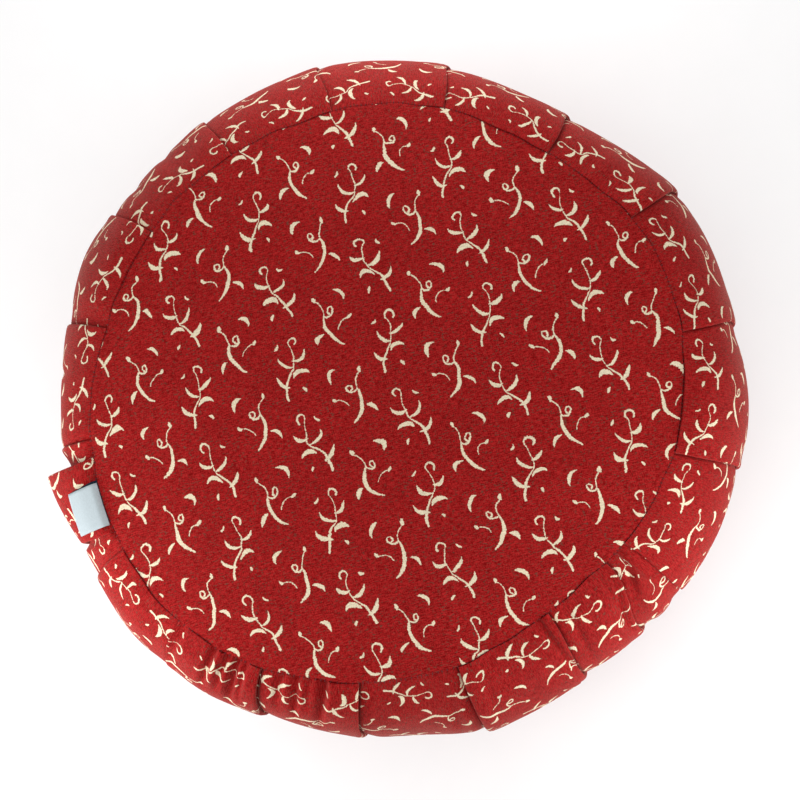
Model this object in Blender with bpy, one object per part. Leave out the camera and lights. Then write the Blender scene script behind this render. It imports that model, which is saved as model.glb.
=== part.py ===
"""Round floor cushion for sitting meditation (a zafu), with a pleated side band and a carry strap.

Two round cloth panels are sewn to a long band that is laid in knife pleats, and the cover is
filled firmly, so that the band swells into a belly and the top panel into a low crown.

Frame: metres, +Z up. The origin is the centre of the flat underside, on the floor. The carry
strap is at -Y. Angles run anticlockwise from +X, seen from above.
"""

from collections import namedtuple
from math import atan2, copysign, cos, hypot, pi, radians, sin, sqrt, tau

import bmesh
import bpy

# ---- Driving dimensions ----------------------------------------------------------------

HEIGHT = 0.150  # floor to the top of the crown
BELLY_RADIUS = 0.1764  # the band between two pleats, where it is widest
BELLY_HEIGHT = 0.068
TOP_SEAM_RADIUS = 0.1466
TOP_SEAM_HEIGHT = 0.123
BOTTOM_SEAM_RADIUS = 0.1470
BOTTOM_SEAM_HEIGHT = 0.014
REST_RADIUS = 0.112  # of the flat that lies on the floor

CLOTH = 0.002  # panel thickness, with its turned seam allowance
APART = 0.0005  # between two pieces that touch
SEAM_GAP = 0.0007  # between a panel's edge and the band, at the bottom of the seam's groove
SEAM_DEPTH = 0.0018  # how deep the cloth rolls down into the seam
SEAM_ROLL = 0.006  # how far from the seam that roll begins, on a panel

STRAP_DEG = 270.0
STRAP_LEAN_DEG = 1.2  # how much further round its upper end is sewn in
STRAP_WIDTH = 0.038
STRAP_THICKNESS = 0.0018
STRAP_STANDOFF = 0.0030  # of the strap from the band's round at the belly
STRAP_TWIST = 0.0040  # its -X edge stands out by this more, and its +X edge by this less
STRAP_PRESS = 0.0042  # how far the band is drawn in behind the strap
STRAP_PRESS_EDGE = 0.006  # the width over which the band comes out again beside the strap

LABEL_WIDTH = 0.0216
LABEL_LENGTH = 0.0190
LABEL_ASIDE = 0.0045  # of its middle from the strap's, towards +X
LABEL_SLOPE = radians(27)  # it falls away from the seam, straighter than the strap under it
LABEL_START = -0.0027  # of its open end from the seam
LABEL_LIFT = 0.0021  # of its inner face from the band's round, at the seam
LABEL_SHEET = 0.0010
LABEL_SHEETS_APART = 0.0004

# ---- How the cloth lies ----------------------------------------------------------------

# The cover isn't quite round: each wave swells the radius by `swell` towards `toward_deg`.
Wave = namedtuple("Wave", "count swell toward_deg")
UNEVEN = (
    Wave(count=1, swell=0.0006, toward_deg=158.1),
    Wave(count=2, swell=0.0013, toward_deg=70.7),
    Wave(count=3, swell=0.0024, toward_deg=71.2),
    Wave(count=4, swell=0.0009, toward_deg=7.1),
    Wave(count=5, swell=0.0007, toward_deg=16.0),
    Wave(count=6, swell=0.0019, toward_deg=48.4),
    Wave(count=7, swell=0.0010, toward_deg=50.4),
)
# The top seam is pulled out of round on top of that.
TOP_UNEVEN = (
    Wave(count=1, swell=0.0016, toward_deg=292.0),
    Wave(count=2, swell=0.0059, toward_deg=108.3),
    Wave(count=3, swell=0.0005, toward_deg=66.2),
    Wave(count=4, swell=0.0010, toward_deg=66.3),
    Wave(count=5, swell=0.0005, toward_deg=56.2),
    Wave(count=6, swell=0.0015, toward_deg=21.3),
)

# The knife pleats. `lean_deg` is how far a folded edge has wandered at the belly. `laid` is 1
# where the cloth beyond the edge lies on top, and -1 where the cloth before it does.
Pleat = namedtuple("Pleat", "seam_deg lean_deg rise billow laid")
PLEATS = (
    Pleat(seam_deg=18.0, lean_deg=-2.0, rise=0.0016, billow=0.0008, laid=-1),
    Pleat(seam_deg=33.6, lean_deg=-5.2, rise=0.0018, billow=0.0017, laid=-1),
    Pleat(seam_deg=39.0, lean_deg=-1.3, rise=0.0009, billow=-0.0002, laid=1),
    Pleat(seam_deg=59.1, lean_deg=0.7, rise=0.0016, billow=0.0037, laid=1),
    Pleat(seam_deg=82.2, lean_deg=1.3, rise=0.0012, billow=-0.0008, laid=1),
    Pleat(seam_deg=106.0, lean_deg=1.2, rise=0.0018, billow=-0.0002, laid=1),
    Pleat(seam_deg=126.6, lean_deg=2.7, rise=0.0018, billow=0.0012, laid=1),
    Pleat(seam_deg=149.4, lean_deg=2.6, rise=0.0012, billow=-0.0008, laid=1),
    Pleat(seam_deg=172.0, lean_deg=2.4, rise=0.0012, billow=0.0002, laid=1),
    Pleat(seam_deg=194.2, lean_deg=1.6, rise=0.0012, billow=-0.0008, laid=1),
    Pleat(seam_deg=216.8, lean_deg=1.2, rise=0.0016, billow=0.0027, laid=1),
    Pleat(seam_deg=238.2, lean_deg=0.1, rise=0.0012, billow=-0.0004, laid=1),
    Pleat(seam_deg=260.4, lean_deg=-0.2, rise=0.0013, billow=0.0013, laid=1),
    Pleat(seam_deg=282.5, lean_deg=0.4, rise=0.0012, billow=0.0013, laid=1),
    Pleat(seam_deg=299.8, lean_deg=1.4, rise=0.0005, billow=0.0012, laid=1),
    Pleat(seam_deg=317.7, lean_deg=1.3, rise=0.0016, billow=0.0010, laid=-1),
    Pleat(seam_deg=336.8, lean_deg=-0.6, rise=0.0014, billow=-0.0006, laid=-1),
    Pleat(seam_deg=356.9, lean_deg=0.3, rise=0.0020, billow=0.0001, laid=1),
)

# The section of one fold, laid with `laid` 1: into the slot under the edge, back out, and up
# over the edge. `free` is the distance from the edge over the belly and `sewn` in the seam.
# The height is `rise` times the pleat's own, plus `out`.
Station = namedtuple("Station", "free sewn rise out")
FOLD = (
    Station(free=-0.0024, sewn=-0.0018, rise=0.0, out=-0.0004),
    Station(free=0.0008, sewn=-0.0014, rise=0.0, out=-0.0011),
    Station(free=0.0030, sewn=-0.0010, rise=0.0, out=-0.0013),
    Station(free=0.0027, sewn=-0.0006, rise=0.0, out=-0.0006),
    Station(free=0.0005, sewn=-0.0003, rise=0.0, out=0.0001),
    Station(free=0.0000, sewn=0.0000, rise=0.62, out=0.0),
    Station(free=0.0009, sewn=0.0010, rise=0.96, out=0.0),
    Station(free=0.0040, sewn=0.0040, rise=1.0, out=0.0),
)
# The cloth between two folds: `share` is of the way, `billow` is its part of how far the filling
# swells the pleat's cloth, and `pucker` is how far the seam gathers it, near a seam.
Reach = namedtuple("Reach", "share billow pucker")
REACHES = (
    Reach(share=0.28, billow=0.7, pucker=-0.0005),
    Reach(share=0.46, billow=1.0, pucker=0.0005),
    Reach(share=0.63, billow=0.85, pucker=-0.0006),
    Reach(share=0.80, billow=0.4, pucker=0.0004),
)
PUCKERED_DEG = 340.0  # the side where the band is gathered most

# Rows down the band, as shares of the way from the top seam to the bottom one.
BAND_ROWS = (0.0, 0.02, 0.06, 0.14, 0.26, 0.40, 0.54, 0.68, 0.82, 0.92, 0.975, 1.0)
# How far from a seam, as such a share, each of these goes on:
BAND_ROLL = 0.045  # the band's roll down into the seam
SEAM_PINCH = 0.20  # the seam's hold on the pleats, which keeps them flat
PRESS_ONSET = 0.35  # the drawing in of the band behind the strap
BOW_ONSET = 0.42  # the strap's bow away from the band
STRAP_THINNED = 0.08  # the strap's thinner, pressed end
SEAM_FULLNESS = 0.4  # how much of its rise a pleat keeps in the seam

TOP_ANGLE = radians(62)  # where the band starts on its upper arc, from the belly up
BOTTOM_ANGLE = radians(50)  # and where it ends on the lower one
CROWN_POWER = 2.4  # how flat the crown is in its middle, and how steep at its edge
UNDERSIDE_POWER = 1.7  # the same, for the turn from the floor up to the seam

PANEL_COLUMNS = 72
TOP_RADII = (0.040, 0.080, 0.112, 0.130, 0.140)  # of the rings in the top panel
BOTTOM_RADII = (0.060, REST_RADIUS, 0.124, 0.135, 0.141)
FILLING_COLUMN_STEP = 4  # the band has this many columns for each one of the filling's faces
STRAP_STEPS = 28
SHARP_EDGE = radians(50)

RED_LINEN = (0.30, 0.014, 0.016, 1.0)
LABEL_WHITE = (0.78, 0.81, 0.83, 1.0)


def smooth(x):
    """A soft step from 0 to 1 as x goes from 0 to 1."""
    x = min(1.0, max(0.0, x))
    return x * x * (3 - 2 * x)


def swelling(wave, angle):
    """How far one wave swells the cover at that angle."""
    return wave.swell * cos(wave.count * (angle - radians(wave.toward_deg)))


def place(radius, angle, height):
    """The point at that radius, angle and height, with the cover's unevenness."""
    towards_top = smooth((height - BELLY_HEIGHT) / (TOP_SEAM_HEIGHT - BELLY_HEIGHT))
    swell = sum(swelling(wave, angle) for wave in UNEVEN)
    swell += towards_top * sum(swelling(wave, angle) for wave in TOP_UNEVEN)
    radius *= 1 + swell / BELLY_RADIUS
    return (radius * cos(angle), radius * sin(angle), height)


# ---- Sections --------------------------------------------------------------------------


def band_arc(down):
    """The band's smooth surface, `down` from the top seam (0) to the bottom one (1).

    Gives its radius, its height, and its normal's parts outward and upward.
    """
    t = TOP_ANGLE - (TOP_ANGLE + BOTTOM_ANGLE) * down
    if t >= 0:
        wide = (BELLY_RADIUS - TOP_SEAM_RADIUS) / (1 - cos(TOP_ANGLE))
        tall = (TOP_SEAM_HEIGHT - BELLY_HEIGHT) / sin(TOP_ANGLE)
    else:
        wide = (BELLY_RADIUS - BOTTOM_SEAM_RADIUS) / (1 - cos(BOTTOM_ANGLE))
        tall = (BELLY_HEIGHT - BOTTOM_SEAM_HEIGHT) / sin(BOTTOM_ANGLE)
    radius = BELLY_RADIUS - wide * (1 - cos(t))
    height = BELLY_HEIGHT + tall * sin(t)
    length = hypot(tall * cos(t), wide * sin(t))
    return radius, height, tall * cos(t) / length, wide * sin(t) / length


def from_seam(down, reach):
    """A soft step from 0 at either seam to 1 at `reach` from it, and from there on."""
    return smooth(min(down, 1 - down) / reach)


def seam_roll(down):
    """How far the band's edge has rolled down into the nearer seam."""
    return SEAM_DEPTH * (1 - from_seam(down, BAND_ROLL))


def top_height(radius):
    """Height of the top panel's outer face."""
    crown = (HEIGHT - TOP_SEAM_HEIGHT) * (1 - (radius / TOP_SEAM_RADIUS) ** CROWN_POWER)
    roll = SEAM_DEPTH * smooth((radius - TOP_SEAM_RADIUS + SEAM_ROLL) / SEAM_ROLL)
    return TOP_SEAM_HEIGHT + crown - roll


def bottom_height(radius):
    """Height of the bottom panel's outer face, which is flat where it rests on the floor."""
    beyond = max(0.0, (radius - REST_RADIUS) / (BOTTOM_SEAM_RADIUS - REST_RADIUS))
    roll = SEAM_DEPTH * smooth((radius - BOTTOM_SEAM_RADIUS + SEAM_ROLL) / SEAM_ROLL)
    return BOTTOM_SEAM_HEIGHT * beyond**UNDERSIDE_POWER + roll


def panel_edge(seam_radius):
    """The radius of a panel's edge, just inside its seam."""
    return seam_radius - 1.5 * SEAM_GAP


def strap_pressing(angle, down):
    """1 behind the strap, where it holds the band flat, and 0 away from it."""
    aside = abs((angle - strap_angle(down) + pi) % tau - pi) * band_arc(down)[0]
    return 1 - smooth((aside - STRAP_WIDTH * 0.52) / STRAP_PRESS_EDGE)


# ---- The pleated band, round the filling -------------------------------------------------


def pleat_edge(pleat, free):
    """The angle of a pleat's folded edge. `free` is 0 in a seam and 1 over the belly."""
    return radians(pleat.seam_deg + pleat.lean_deg * free)


def fold_stations(pleat, radius, full, free):
    """(angle, out) of each column of one fold, by increasing angle."""
    edge = pleat_edge(pleat, free)
    stations = []
    for s in FOLD:
        across = s.sewn + (s.free - s.sewn) * free
        out = s.rise * pleat.rise * full + s.out * free
        stations.append((edge + pleat.laid * across / radius, out))
    return stations[:: pleat.laid]


def reach_stations(pleat, following, full, free):
    """(angle, out) of each column of the cloth between two folds."""
    edge = pleat_edge(pleat, free)
    span = (pleat_edge(following, free) - edge) % tau
    stations = []
    for s in REACHES:
        angle = edge + s.share * span
        gathered = 4 * free * (1 - free) * (0.5 + 0.5 * cos(angle - radians(PUCKERED_DEG)))
        out = s.billow * pleat.billow * full + s.pucker * gathered
        if pleat.laid == 1:
            out += pleat.rise * full * (1 - s.share) ** 2
        if following.laid == -1:
            out += following.rise * full * s.share**2
        stations.append((angle, out))
    return stations


def band_stations(down):
    """(angle, out) of every column of one row of the band, from its smooth surface."""
    radius = band_arc(down)[0]
    free = from_seam(down, SEAM_PINCH)
    full = SEAM_FULLNESS + (1 - SEAM_FULLNESS) * free
    stations = []
    for pleat, following in zip(PLEATS, PLEATS[1:] + PLEATS[:1]):
        stations += fold_stations(pleat, radius, full, free)
        stations += reach_stations(pleat, following, full, free)
    return stations


def band_ring(down):
    """The points of one row of the band."""
    radius, height, normal_out, normal_up = band_arc(down)
    roll = copysign(seam_roll(down), normal_up)
    ring = []
    for angle, out in band_stations(down):
        pressed = strap_pressing(angle, down)
        drawn_in = STRAP_PRESS * from_seam(down, PRESS_ONSET)
        out = out * (1 - pressed) - drawn_in * pressed
        ring.append(place(radius + out * normal_out, angle, height - roll + out * normal_up))
    return ring


def filling_face(down, radii, seam_radius, height_of, offset):
    """The filling's face under a panel, from its middle out to the seam's lip."""
    columns = [angle for angle, _ in band_stations(down)]
    rings = []
    for radius in radii + (panel_edge(seam_radius),):
        height = height_of(radius) + offset
        rings.append([place(radius, angle, height) for angle in columns[::FILLING_COLUMN_STEP]])
    lip_height = height_of(seam_radius) + offset
    rings.append([place(seam_radius - SEAM_GAP / 2, angle, lip_height) for angle in columns])
    return rings


def side_band():
    """The band, its pleats and the filling that it holds, as one solid."""
    under = CLOTH + APART
    top = filling_face(0.0, TOP_RADII, TOP_SEAM_RADIUS, top_height, -under)
    bottom = filling_face(1.0, BOTTOM_RADII, BOTTOM_SEAM_RADIUS, bottom_height, under)
    rings = top + [band_ring(down) for down in BAND_ROWS] + bottom[::-1]
    poles = ((0.0, 0.0, HEIGHT - under), (0.0, 0.0, under))
    return closed_of_rings("side_band", rings, poles)


# ---- The round panels --------------------------------------------------------------------


def panel(name, radii, seam_radius, height_of, offset):
    """A round panel, with its inner face at `offset` from its outer one."""
    angles = [tau * i / PANEL_COLUMNS for i in range(PANEL_COLUMNS)]
    radii += (panel_edge(seam_radius),)
    outer = [[place(r, a, height_of(r)) for a in angles] for r in radii]
    inner = [[place(r, a, height_of(r) + offset) for a in angles] for r in radii]
    poles = ((0.0, 0.0, height_of(0.0)), (0.0, 0.0, height_of(0.0) + offset))
    return closed_of_rings(name, outer + inner[::-1], poles)


# ---- Strap and label ---------------------------------------------------------------------


def strap_angle(down):
    """The angle of the strap's middle line."""
    return radians(STRAP_DEG + STRAP_LEAN_DEG * (1 - smooth(down / 0.5)))


def beside_strap_line(radius, angle, across, height):
    """The point at that radius on the strap's middle line, moved `across` at right angles to it."""
    return place(hypot(radius, across), angle + atan2(across, radius), height)


def strap_standoff(down, across):
    """How far the strap's inner face stands off the band: nothing at the seams, most between."""
    twist = -STRAP_TWIST * across / (STRAP_WIDTH / 2)
    return APART + from_seam(down, BOW_ONSET) * (STRAP_STANDOFF + twist)


def strap_section(down):
    """The strap's section at one place: flat, with rounded edges, and a little full in its middle."""
    radius, height, normal_out, normal_up = band_arc(down)
    height -= copysign(seam_roll(down), normal_up)
    half = STRAP_WIDTH / 2
    thick = STRAP_THICKNESS * (0.7 + 0.3 * from_seam(down, STRAP_THINNED))
    section = [(share * half, 0.0) for share in (-0.96, -0.5, 0.0, 0.5, 0.96)]
    section += [(half, 0.4 * thick), (0.96 * half, 0.85 * thick)]
    section += [(0.5 * half, thick), (0.0, 1.04 * thick), (-0.5 * half, thick)]
    section += [(-0.96 * half, 0.85 * thick), (-half, 0.4 * thick)]
    points = []
    for across, lift in section:
        out = strap_standoff(down, across) + lift
        round_the_band = sqrt((radius + out * normal_out) ** 2 - across**2)
        up = height + out * normal_up
        points.append(beside_strap_line(round_the_band, strap_angle(down), across, up))
    return points


def carry_strap():
    """The carry strap, sewn into both seams and bowed out over the belly."""
    first, last = 0.008, 0.992
    step = (last - first) / STRAP_STEPS
    rings = [strap_section(first + step * i) for i in range(STRAP_STEPS + 1)]
    return closed_of_rings("carry_strap", rings)


def label_outline():
    """One section of the folded label, as (along, lift): the outer layer, the fold, the inner one."""
    sheet, apart = LABEL_SHEET, LABEL_SHEETS_APART
    thick = 2 * sheet + apart
    fold = LABEL_LENGTH - thick / 2  # where the round of the fold begins
    turn = (0.0, pi / 4, pi / 2, 3 * pi / 4, pi)
    outline = [(0.0, thick), (fold / 2, thick)]
    outline += [(fold + thick / 2 * sin(a), thick / 2 * (1 + cos(a))) for a in turn]
    outline += [(fold / 2, 0.0), (0.0, 0.0), (0.0, sheet), (fold / 2, sheet)]
    outline += [(fold + apart / 2 * sin(a), sheet + apart / 2 * (1 - cos(a))) for a in turn]
    outline += [(fold / 2, thick - sheet), (0.0, thick - sheet)]
    return outline


def label():
    """The folded label: two layers from the seam to the fold, a little apart, over the strap."""
    slope_out, slope_down = cos(LABEL_SLOPE), sin(LABEL_SLOPE)
    angle = strap_angle(0.0)
    rings = []
    for share in (-1.0, -0.5, 0.0, 0.5, 1.0):
        across = LABEL_ASIDE + share * LABEL_WIDTH / 2
        ring = []
        for along, lift in label_outline():
            along += LABEL_START
            lift += LABEL_LIFT
            radius = TOP_SEAM_RADIUS + along * slope_out + lift * slope_down
            height = TOP_SEAM_HEIGHT - along * slope_down + lift * slope_out
            ring.append(beside_strap_line(radius, angle, across, height))
        rings.append(ring)
    return closed_of_rings("label", rings)


# ---- Building meshes ---------------------------------------------------------------------


def join_rings(bm, one, two):
    """Faces between two closed rings, of as many points or of a whole number of times as many."""
    if len(one) == len(two):
        for i in range(len(one)):
            j = (i + 1) % len(one)
            bm.faces.new((one[i], one[j], two[j], two[i]))
        return
    few, many = (one, two) if len(one) < len(two) else (two, one)
    step = len(many) // len(few)
    for i, vertex in enumerate(few):
        following = few[(i + 1) % len(few)]
        for k in range(step):
            a, b = many[i * step + k], many[(i * step + k + 1) % len(many)]
            bm.faces.new((vertex, a, b))
        bm.faces.new((vertex, many[(i * step + step) % len(many)], following))


def closed_of_rings(name, rings, poles=None):
    """A closed mesh object through the rings, with a fan to each pole, or else flat ends."""
    bm = bmesh.new()
    loops = [[bm.verts.new(point) for point in ring] for ring in rings]
    for one, two in zip(loops, loops[1:]):
        join_rings(bm, one, two)
    for loop, pole in zip((loops[0], loops[-1]), poles or (None, None)):
        if pole is None:
            bm.faces.new(loop)
            continue
        centre = bm.verts.new(pole)
        for i in range(len(loop)):
            bm.faces.new((centre, loop[i], loop[(i + 1) % len(loop)]))
    bmesh.ops.recalc_face_normals(bm, faces=bm.faces)
    bmesh.ops.triangulate(bm, faces=[f for f in bm.faces if len(f.verts) > 4])
    mesh = bpy.data.meshes.new(name)
    bm.to_mesh(mesh)
    bm.free()
    mesh.shade_smooth()
    mesh.set_sharp_from_angle(angle=SHARP_EDGE)
    obj = bpy.data.objects.new(name, mesh)
    bpy.context.scene.collection.objects.link(obj)
    return obj


def cloth_material(name, colour, roughness):
    """A plain matt cloth."""
    material = bpy.data.materials.new(name)
    material.use_nodes = True
    shader = material.node_tree.nodes["Principled BSDF"]
    shader.inputs["Base Color"].default_value = colour
    shader.inputs["Roughness"].default_value = roughness
    shader.inputs["Metallic"].default_value = 0.0
    return material


def main():
    for obj in list(bpy.data.objects):
        bpy.data.objects.remove(obj, do_unlink=True)
    linen = cloth_material("red_linen", RED_LINEN, 0.85)
    woven_label = cloth_material("label_satin", LABEL_WHITE, 0.55)
    pieces = (
        side_band(),
        panel("top_panel", TOP_RADII, TOP_SEAM_RADIUS, top_height, -CLOTH),
        panel("bottom_panel", BOTTOM_RADII, BOTTOM_SEAM_RADIUS, bottom_height, CLOTH),
        carry_strap(),
    )
    for piece in pieces:
        piece.data.materials.append(linen)
    label().data.materials.append(woven_label)


main()
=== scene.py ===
"""The looks of a round meditation cushion (a zafu), laid over its packed model.

The cover is printed red linen: a side band in knife pleats, a round panel above and one below,
stitches in both seams, a carry strap and a folded label. Every size is in metres, in the packed
model's frame: +Z up, the origin at the centre of the flat underside, the strap at -Y. Angles run
anticlockwise from +X, seen from above.
"""

from collections import namedtuple
from math import atan2, copysign, cos, pi, radians, sin, tau

import bpy
import numpy as np
from bpy.props import FloatProperty, FloatVectorProperty, PointerProperty
from bpy.types import Operator, Panel, PropertyGroup
from mathutils import Matrix, Vector


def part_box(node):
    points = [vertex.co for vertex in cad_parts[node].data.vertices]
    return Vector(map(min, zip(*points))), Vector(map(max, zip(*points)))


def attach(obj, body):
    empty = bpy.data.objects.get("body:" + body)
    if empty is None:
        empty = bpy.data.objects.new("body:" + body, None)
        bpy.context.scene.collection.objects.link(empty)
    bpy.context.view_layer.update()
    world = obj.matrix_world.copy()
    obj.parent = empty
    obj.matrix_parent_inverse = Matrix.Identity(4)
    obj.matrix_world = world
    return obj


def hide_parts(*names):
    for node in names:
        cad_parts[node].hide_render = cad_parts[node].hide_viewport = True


bl_info = {
    "name": "Pleated Meditation Cushion",
    "version": (1, 0, 0),
    "blender": (4, 5, 0),
    "location": "3D View > Sidebar > Cushion",
    "description": "A pleated linen floor cushion with its strap, label and studio",
    "category": "Object",
}

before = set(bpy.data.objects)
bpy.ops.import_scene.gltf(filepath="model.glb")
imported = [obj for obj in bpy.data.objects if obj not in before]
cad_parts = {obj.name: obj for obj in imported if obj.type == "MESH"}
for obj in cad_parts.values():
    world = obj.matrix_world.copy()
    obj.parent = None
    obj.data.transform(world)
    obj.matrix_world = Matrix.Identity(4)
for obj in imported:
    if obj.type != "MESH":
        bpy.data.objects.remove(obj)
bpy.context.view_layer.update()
CROWN_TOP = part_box("top_panel")[1][2]

# ---- The cover's form, as the packed model has it ---------------------------------------

REST_RADIUS = 0.112  # of the flat that lies on the floor
PANEL_CLOTH = 0.002  # panel thickness, with its turned seam allowance
APART = 0.0005  # between two pieces that touch
SEAM_GAP = 0.00012  # between a panel's edge and the band
SEAM_DEPTH = 0.0002  # how deep the cloth rolls down into the seam
SEAM_ROLL = 0.003  # how far from the seam that roll begins, on a panel
TOP_ANGLE = radians(62)  # where the band starts on its upper arc, from the belly up
BOTTOM_ANGLE = radians(50)  # and where it ends on the lower one
CROWN_POWER = 2.4  # how flat the crown is in its middle, and how steep at its edge
UNDERSIDE_POWER = 1.7  # the same, for the turn from the floor up to the seam

# Each wave swells the cover by `swell` towards `toward_deg`, so that it isn't quite round.
Wave = namedtuple("Wave", "count swell toward_deg")
UNEVEN = (
    Wave(1, 0.0006, 158.1),
    Wave(2, 0.0013, 70.7),
    Wave(3, 0.0024, 71.2),
    Wave(4, 0.0009, 7.1),
    Wave(5, 0.0007, 16.0),
    Wave(6, 0.0019, 48.4),
    Wave(7, 0.0010, 50.4),
)
TOP_UNEVEN = (
    Wave(1, 0.0016, 292.0),
    Wave(2, 0.0059, 108.3),
    Wave(3, 0.0005, 66.2),
    Wave(4, 0.0010, 66.3),
    Wave(5, 0.0005, 56.2),
    Wave(6, 0.0015, 21.3),
    Wave(17, 0.0004, 40.0),
    Wave(29, 0.0003, 10.0),
    Wave(43, 0.0002, 75.0),
)

# The knife pleats. `lean_deg` is how far a folded edge has wandered at the belly. `laid` is 1
# where the cloth beyond the edge lies on top, and -1 where the cloth before it does. `dive` is
# how deep the slot under the edge is, where 1 is as in the section below.
Pleat = namedtuple("Pleat", "seam_deg lean_deg rise billow laid dive")
PLEATS = (
    Pleat(18.0, -2.0, 0.0016, 0.0008, -1, 1.4),
    Pleat(33.6, -5.2, 0.0018, 0.0017, -1, 1.3),
    Pleat(39.0, -1.3, 0.0009, -0.0002, 1, 0.4),
    Pleat(59.1, 0.7, 0.0016, 0.0037, 1, 0.7),
    Pleat(82.2, 1.3, 0.0012, -0.0008, 1, 0.7),
    Pleat(106.0, 1.2, 0.0018, -0.0002, 1, 0.7),
    Pleat(126.6, 2.7, 0.0018, 0.0012, 1, 0.7),
    Pleat(149.4, 2.6, 0.0012, -0.0008, 1, 0.7),
    Pleat(172.0, 2.4, 0.0012, 0.0002, 1, 0.6),
    Pleat(194.2, 1.6, 0.0012, -0.0008, 1, 0.7),
    Pleat(216.8, 1.2, 0.0016, 0.0027, 1, 0.7),
    Pleat(238.2, 0.1, 0.0012, -0.0004, 1, 0.7),
    Pleat(260.4, -0.2, 0.0013, 0.0013, 1, 0.7),
    Pleat(282.5, 0.4, 0.0012, 0.0013, 1, 0.7),
    Pleat(299.8, 1.4, 0.0005, 0.0012, 1, 0.3),
    Pleat(317.7, 1.3, 0.0016, 0.0010, -1, 1.4),
    Pleat(336.8, -0.6, 0.0014, -0.0006, -1, 1.5),
    Pleat(356.9, 0.3, 0.0020, 0.0001, 1, 1.3),
)

# The section of one fold, laid with `laid` 1: into the slot under the edge, back out, and up
# over the edge. `free` is the distance from the edge over the belly and `sewn` in the seam.
# The height is `rise` times the pleat's own, plus `out` times its dive.
Station = namedtuple("Station", "free sewn rise out")
FOLD = (
    Station(-0.0062, -0.0050, 0.0, -0.0002),
    Station(-0.0030, -0.0026, 0.0, -0.0009),
    Station(-0.0010, -0.0011, 0.0, -0.0015),
    Station(0.0000, -0.0006, 0.0, -0.0027),
    Station(0.0012, -0.0004, 0.0, -0.0029),
    Station(0.0011, -0.0003, 0.0, -0.0022),
    Station(0.0002, -0.0001, 0.0, -0.0010),
    Station(0.0000, 0.0001, 0.62, 0.0),
    Station(0.0009, 0.0010, 0.96, 0.0),
    Station(0.0040, 0.0040, 1.0, 0.0),
)
# The cloth between two folds: `share` is of the way from fold to fold, `billow` is its part of
# how far the pleat's cloth is swelled by the filling, and `pucker` how far the seam gathers it.
Reach = namedtuple("Reach", "share billow pucker")
REACHES = (
    Reach(0.22, 0.7, -0.0005),
    Reach(0.45, 1.0, 0.0005),
    Reach(0.66, 0.85, -0.0006),
    Reach(0.87, 0.4, 0.0004),
)
PUCKERED_DEG = 340.0  # the side where the band is gathered most
DIVE_SEWN = 0.65  # how deep a pleat's slot is in the seam, as a share of its depth further on
DIVE_OPENED = 0.45  # and how much of that depth it has lost at the belly

# Soft creases that run down the band between the pleats. `start` and `end` are shares of the
# way down, `wide` is half the width, and `deep` is how far it sinks, or rises if it is negative.
Crease = namedtuple("Crease", "deg lean_deg start end wide deep")
CREASES = (
    Crease(301.0, 1.0, -0.20, 0.44, 0.0024, 0.0018),
    Crease(308.2, 0.3, -0.20, 0.36, 0.0019, 0.0036),
    Crease(309.7, 0.3, -0.20, 0.30, 0.0016, -0.0012),
    Crease(310.9, 0.2, -0.20, 0.30, 0.0017, 0.0032),
    Crease(313.0, 0.6, -0.20, 0.40, 0.0022, 0.0048),
    Crease(314.8, 0.5, -0.20, 0.32, 0.0018, 0.0026),
    Crease(321.7, 0.3, -0.20, 0.32, 0.0024, 0.0024),
    Crease(324.8, 0.6, -0.20, 0.34, 0.0021, 0.0036),
    Crease(327.2, 0.3, -0.10, 0.24, 0.0021, 0.0017),
    Crease(330.2, -0.9, -0.20, 0.42, 0.0022, 0.0036),
    Crease(331.8, -0.4, -0.20, 0.28, 0.0022, -0.0018),
    Crease(346.6, 0.0, -0.20, 0.80, 0.0190, 0.0028),
    Crease(353.5, -0.3, 0.05, 0.56, 0.0030, 0.0015),
    Crease(0.8, -0.4, 0.05, 0.50, 0.0030, 0.0014),
    Crease(9.0, -1.0, 0.10, 0.60, 0.0040, 0.0009),
    Crease(15.6, 0.1, -0.20, 0.56, 0.0018, 0.0030),
    Crease(16.6, -0.6, -0.20, 0.48, 0.0012, -0.0010),
    Crease(21.4, -2.2, -0.05, 0.54, 0.0024, 0.0017),
    Crease(30.6, -3.2, -0.10, 0.54, 0.0022, 0.0018),
    Crease(32.5, -4.9, -0.20, 0.56, 0.0017, 0.0020),
    Crease(36.9, -7.0, -0.20, 0.36, 0.0018, 0.0024),
    Crease(40.8, -1.0, -0.05, 0.40, 0.0020, 0.0009),
    Crease(47.0, 0.0, 0.10, 0.62, 0.0040, 0.0009),
    Crease(90.7, 1.6, -0.20, 0.42, 0.0020, 0.0009),
    Crease(116.5, 1.4, -0.20, 0.32, 0.0040, -0.0008),
    Crease(204.5, 0.4, 0.12, 0.64, 0.0036, 0.0012),
    Crease(211.8, 0.4, 0.12, 0.64, 0.0032, 0.0011),
    Crease(246.6, 0.2, 0.16, 0.62, 0.0024, 0.0011),
)

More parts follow.
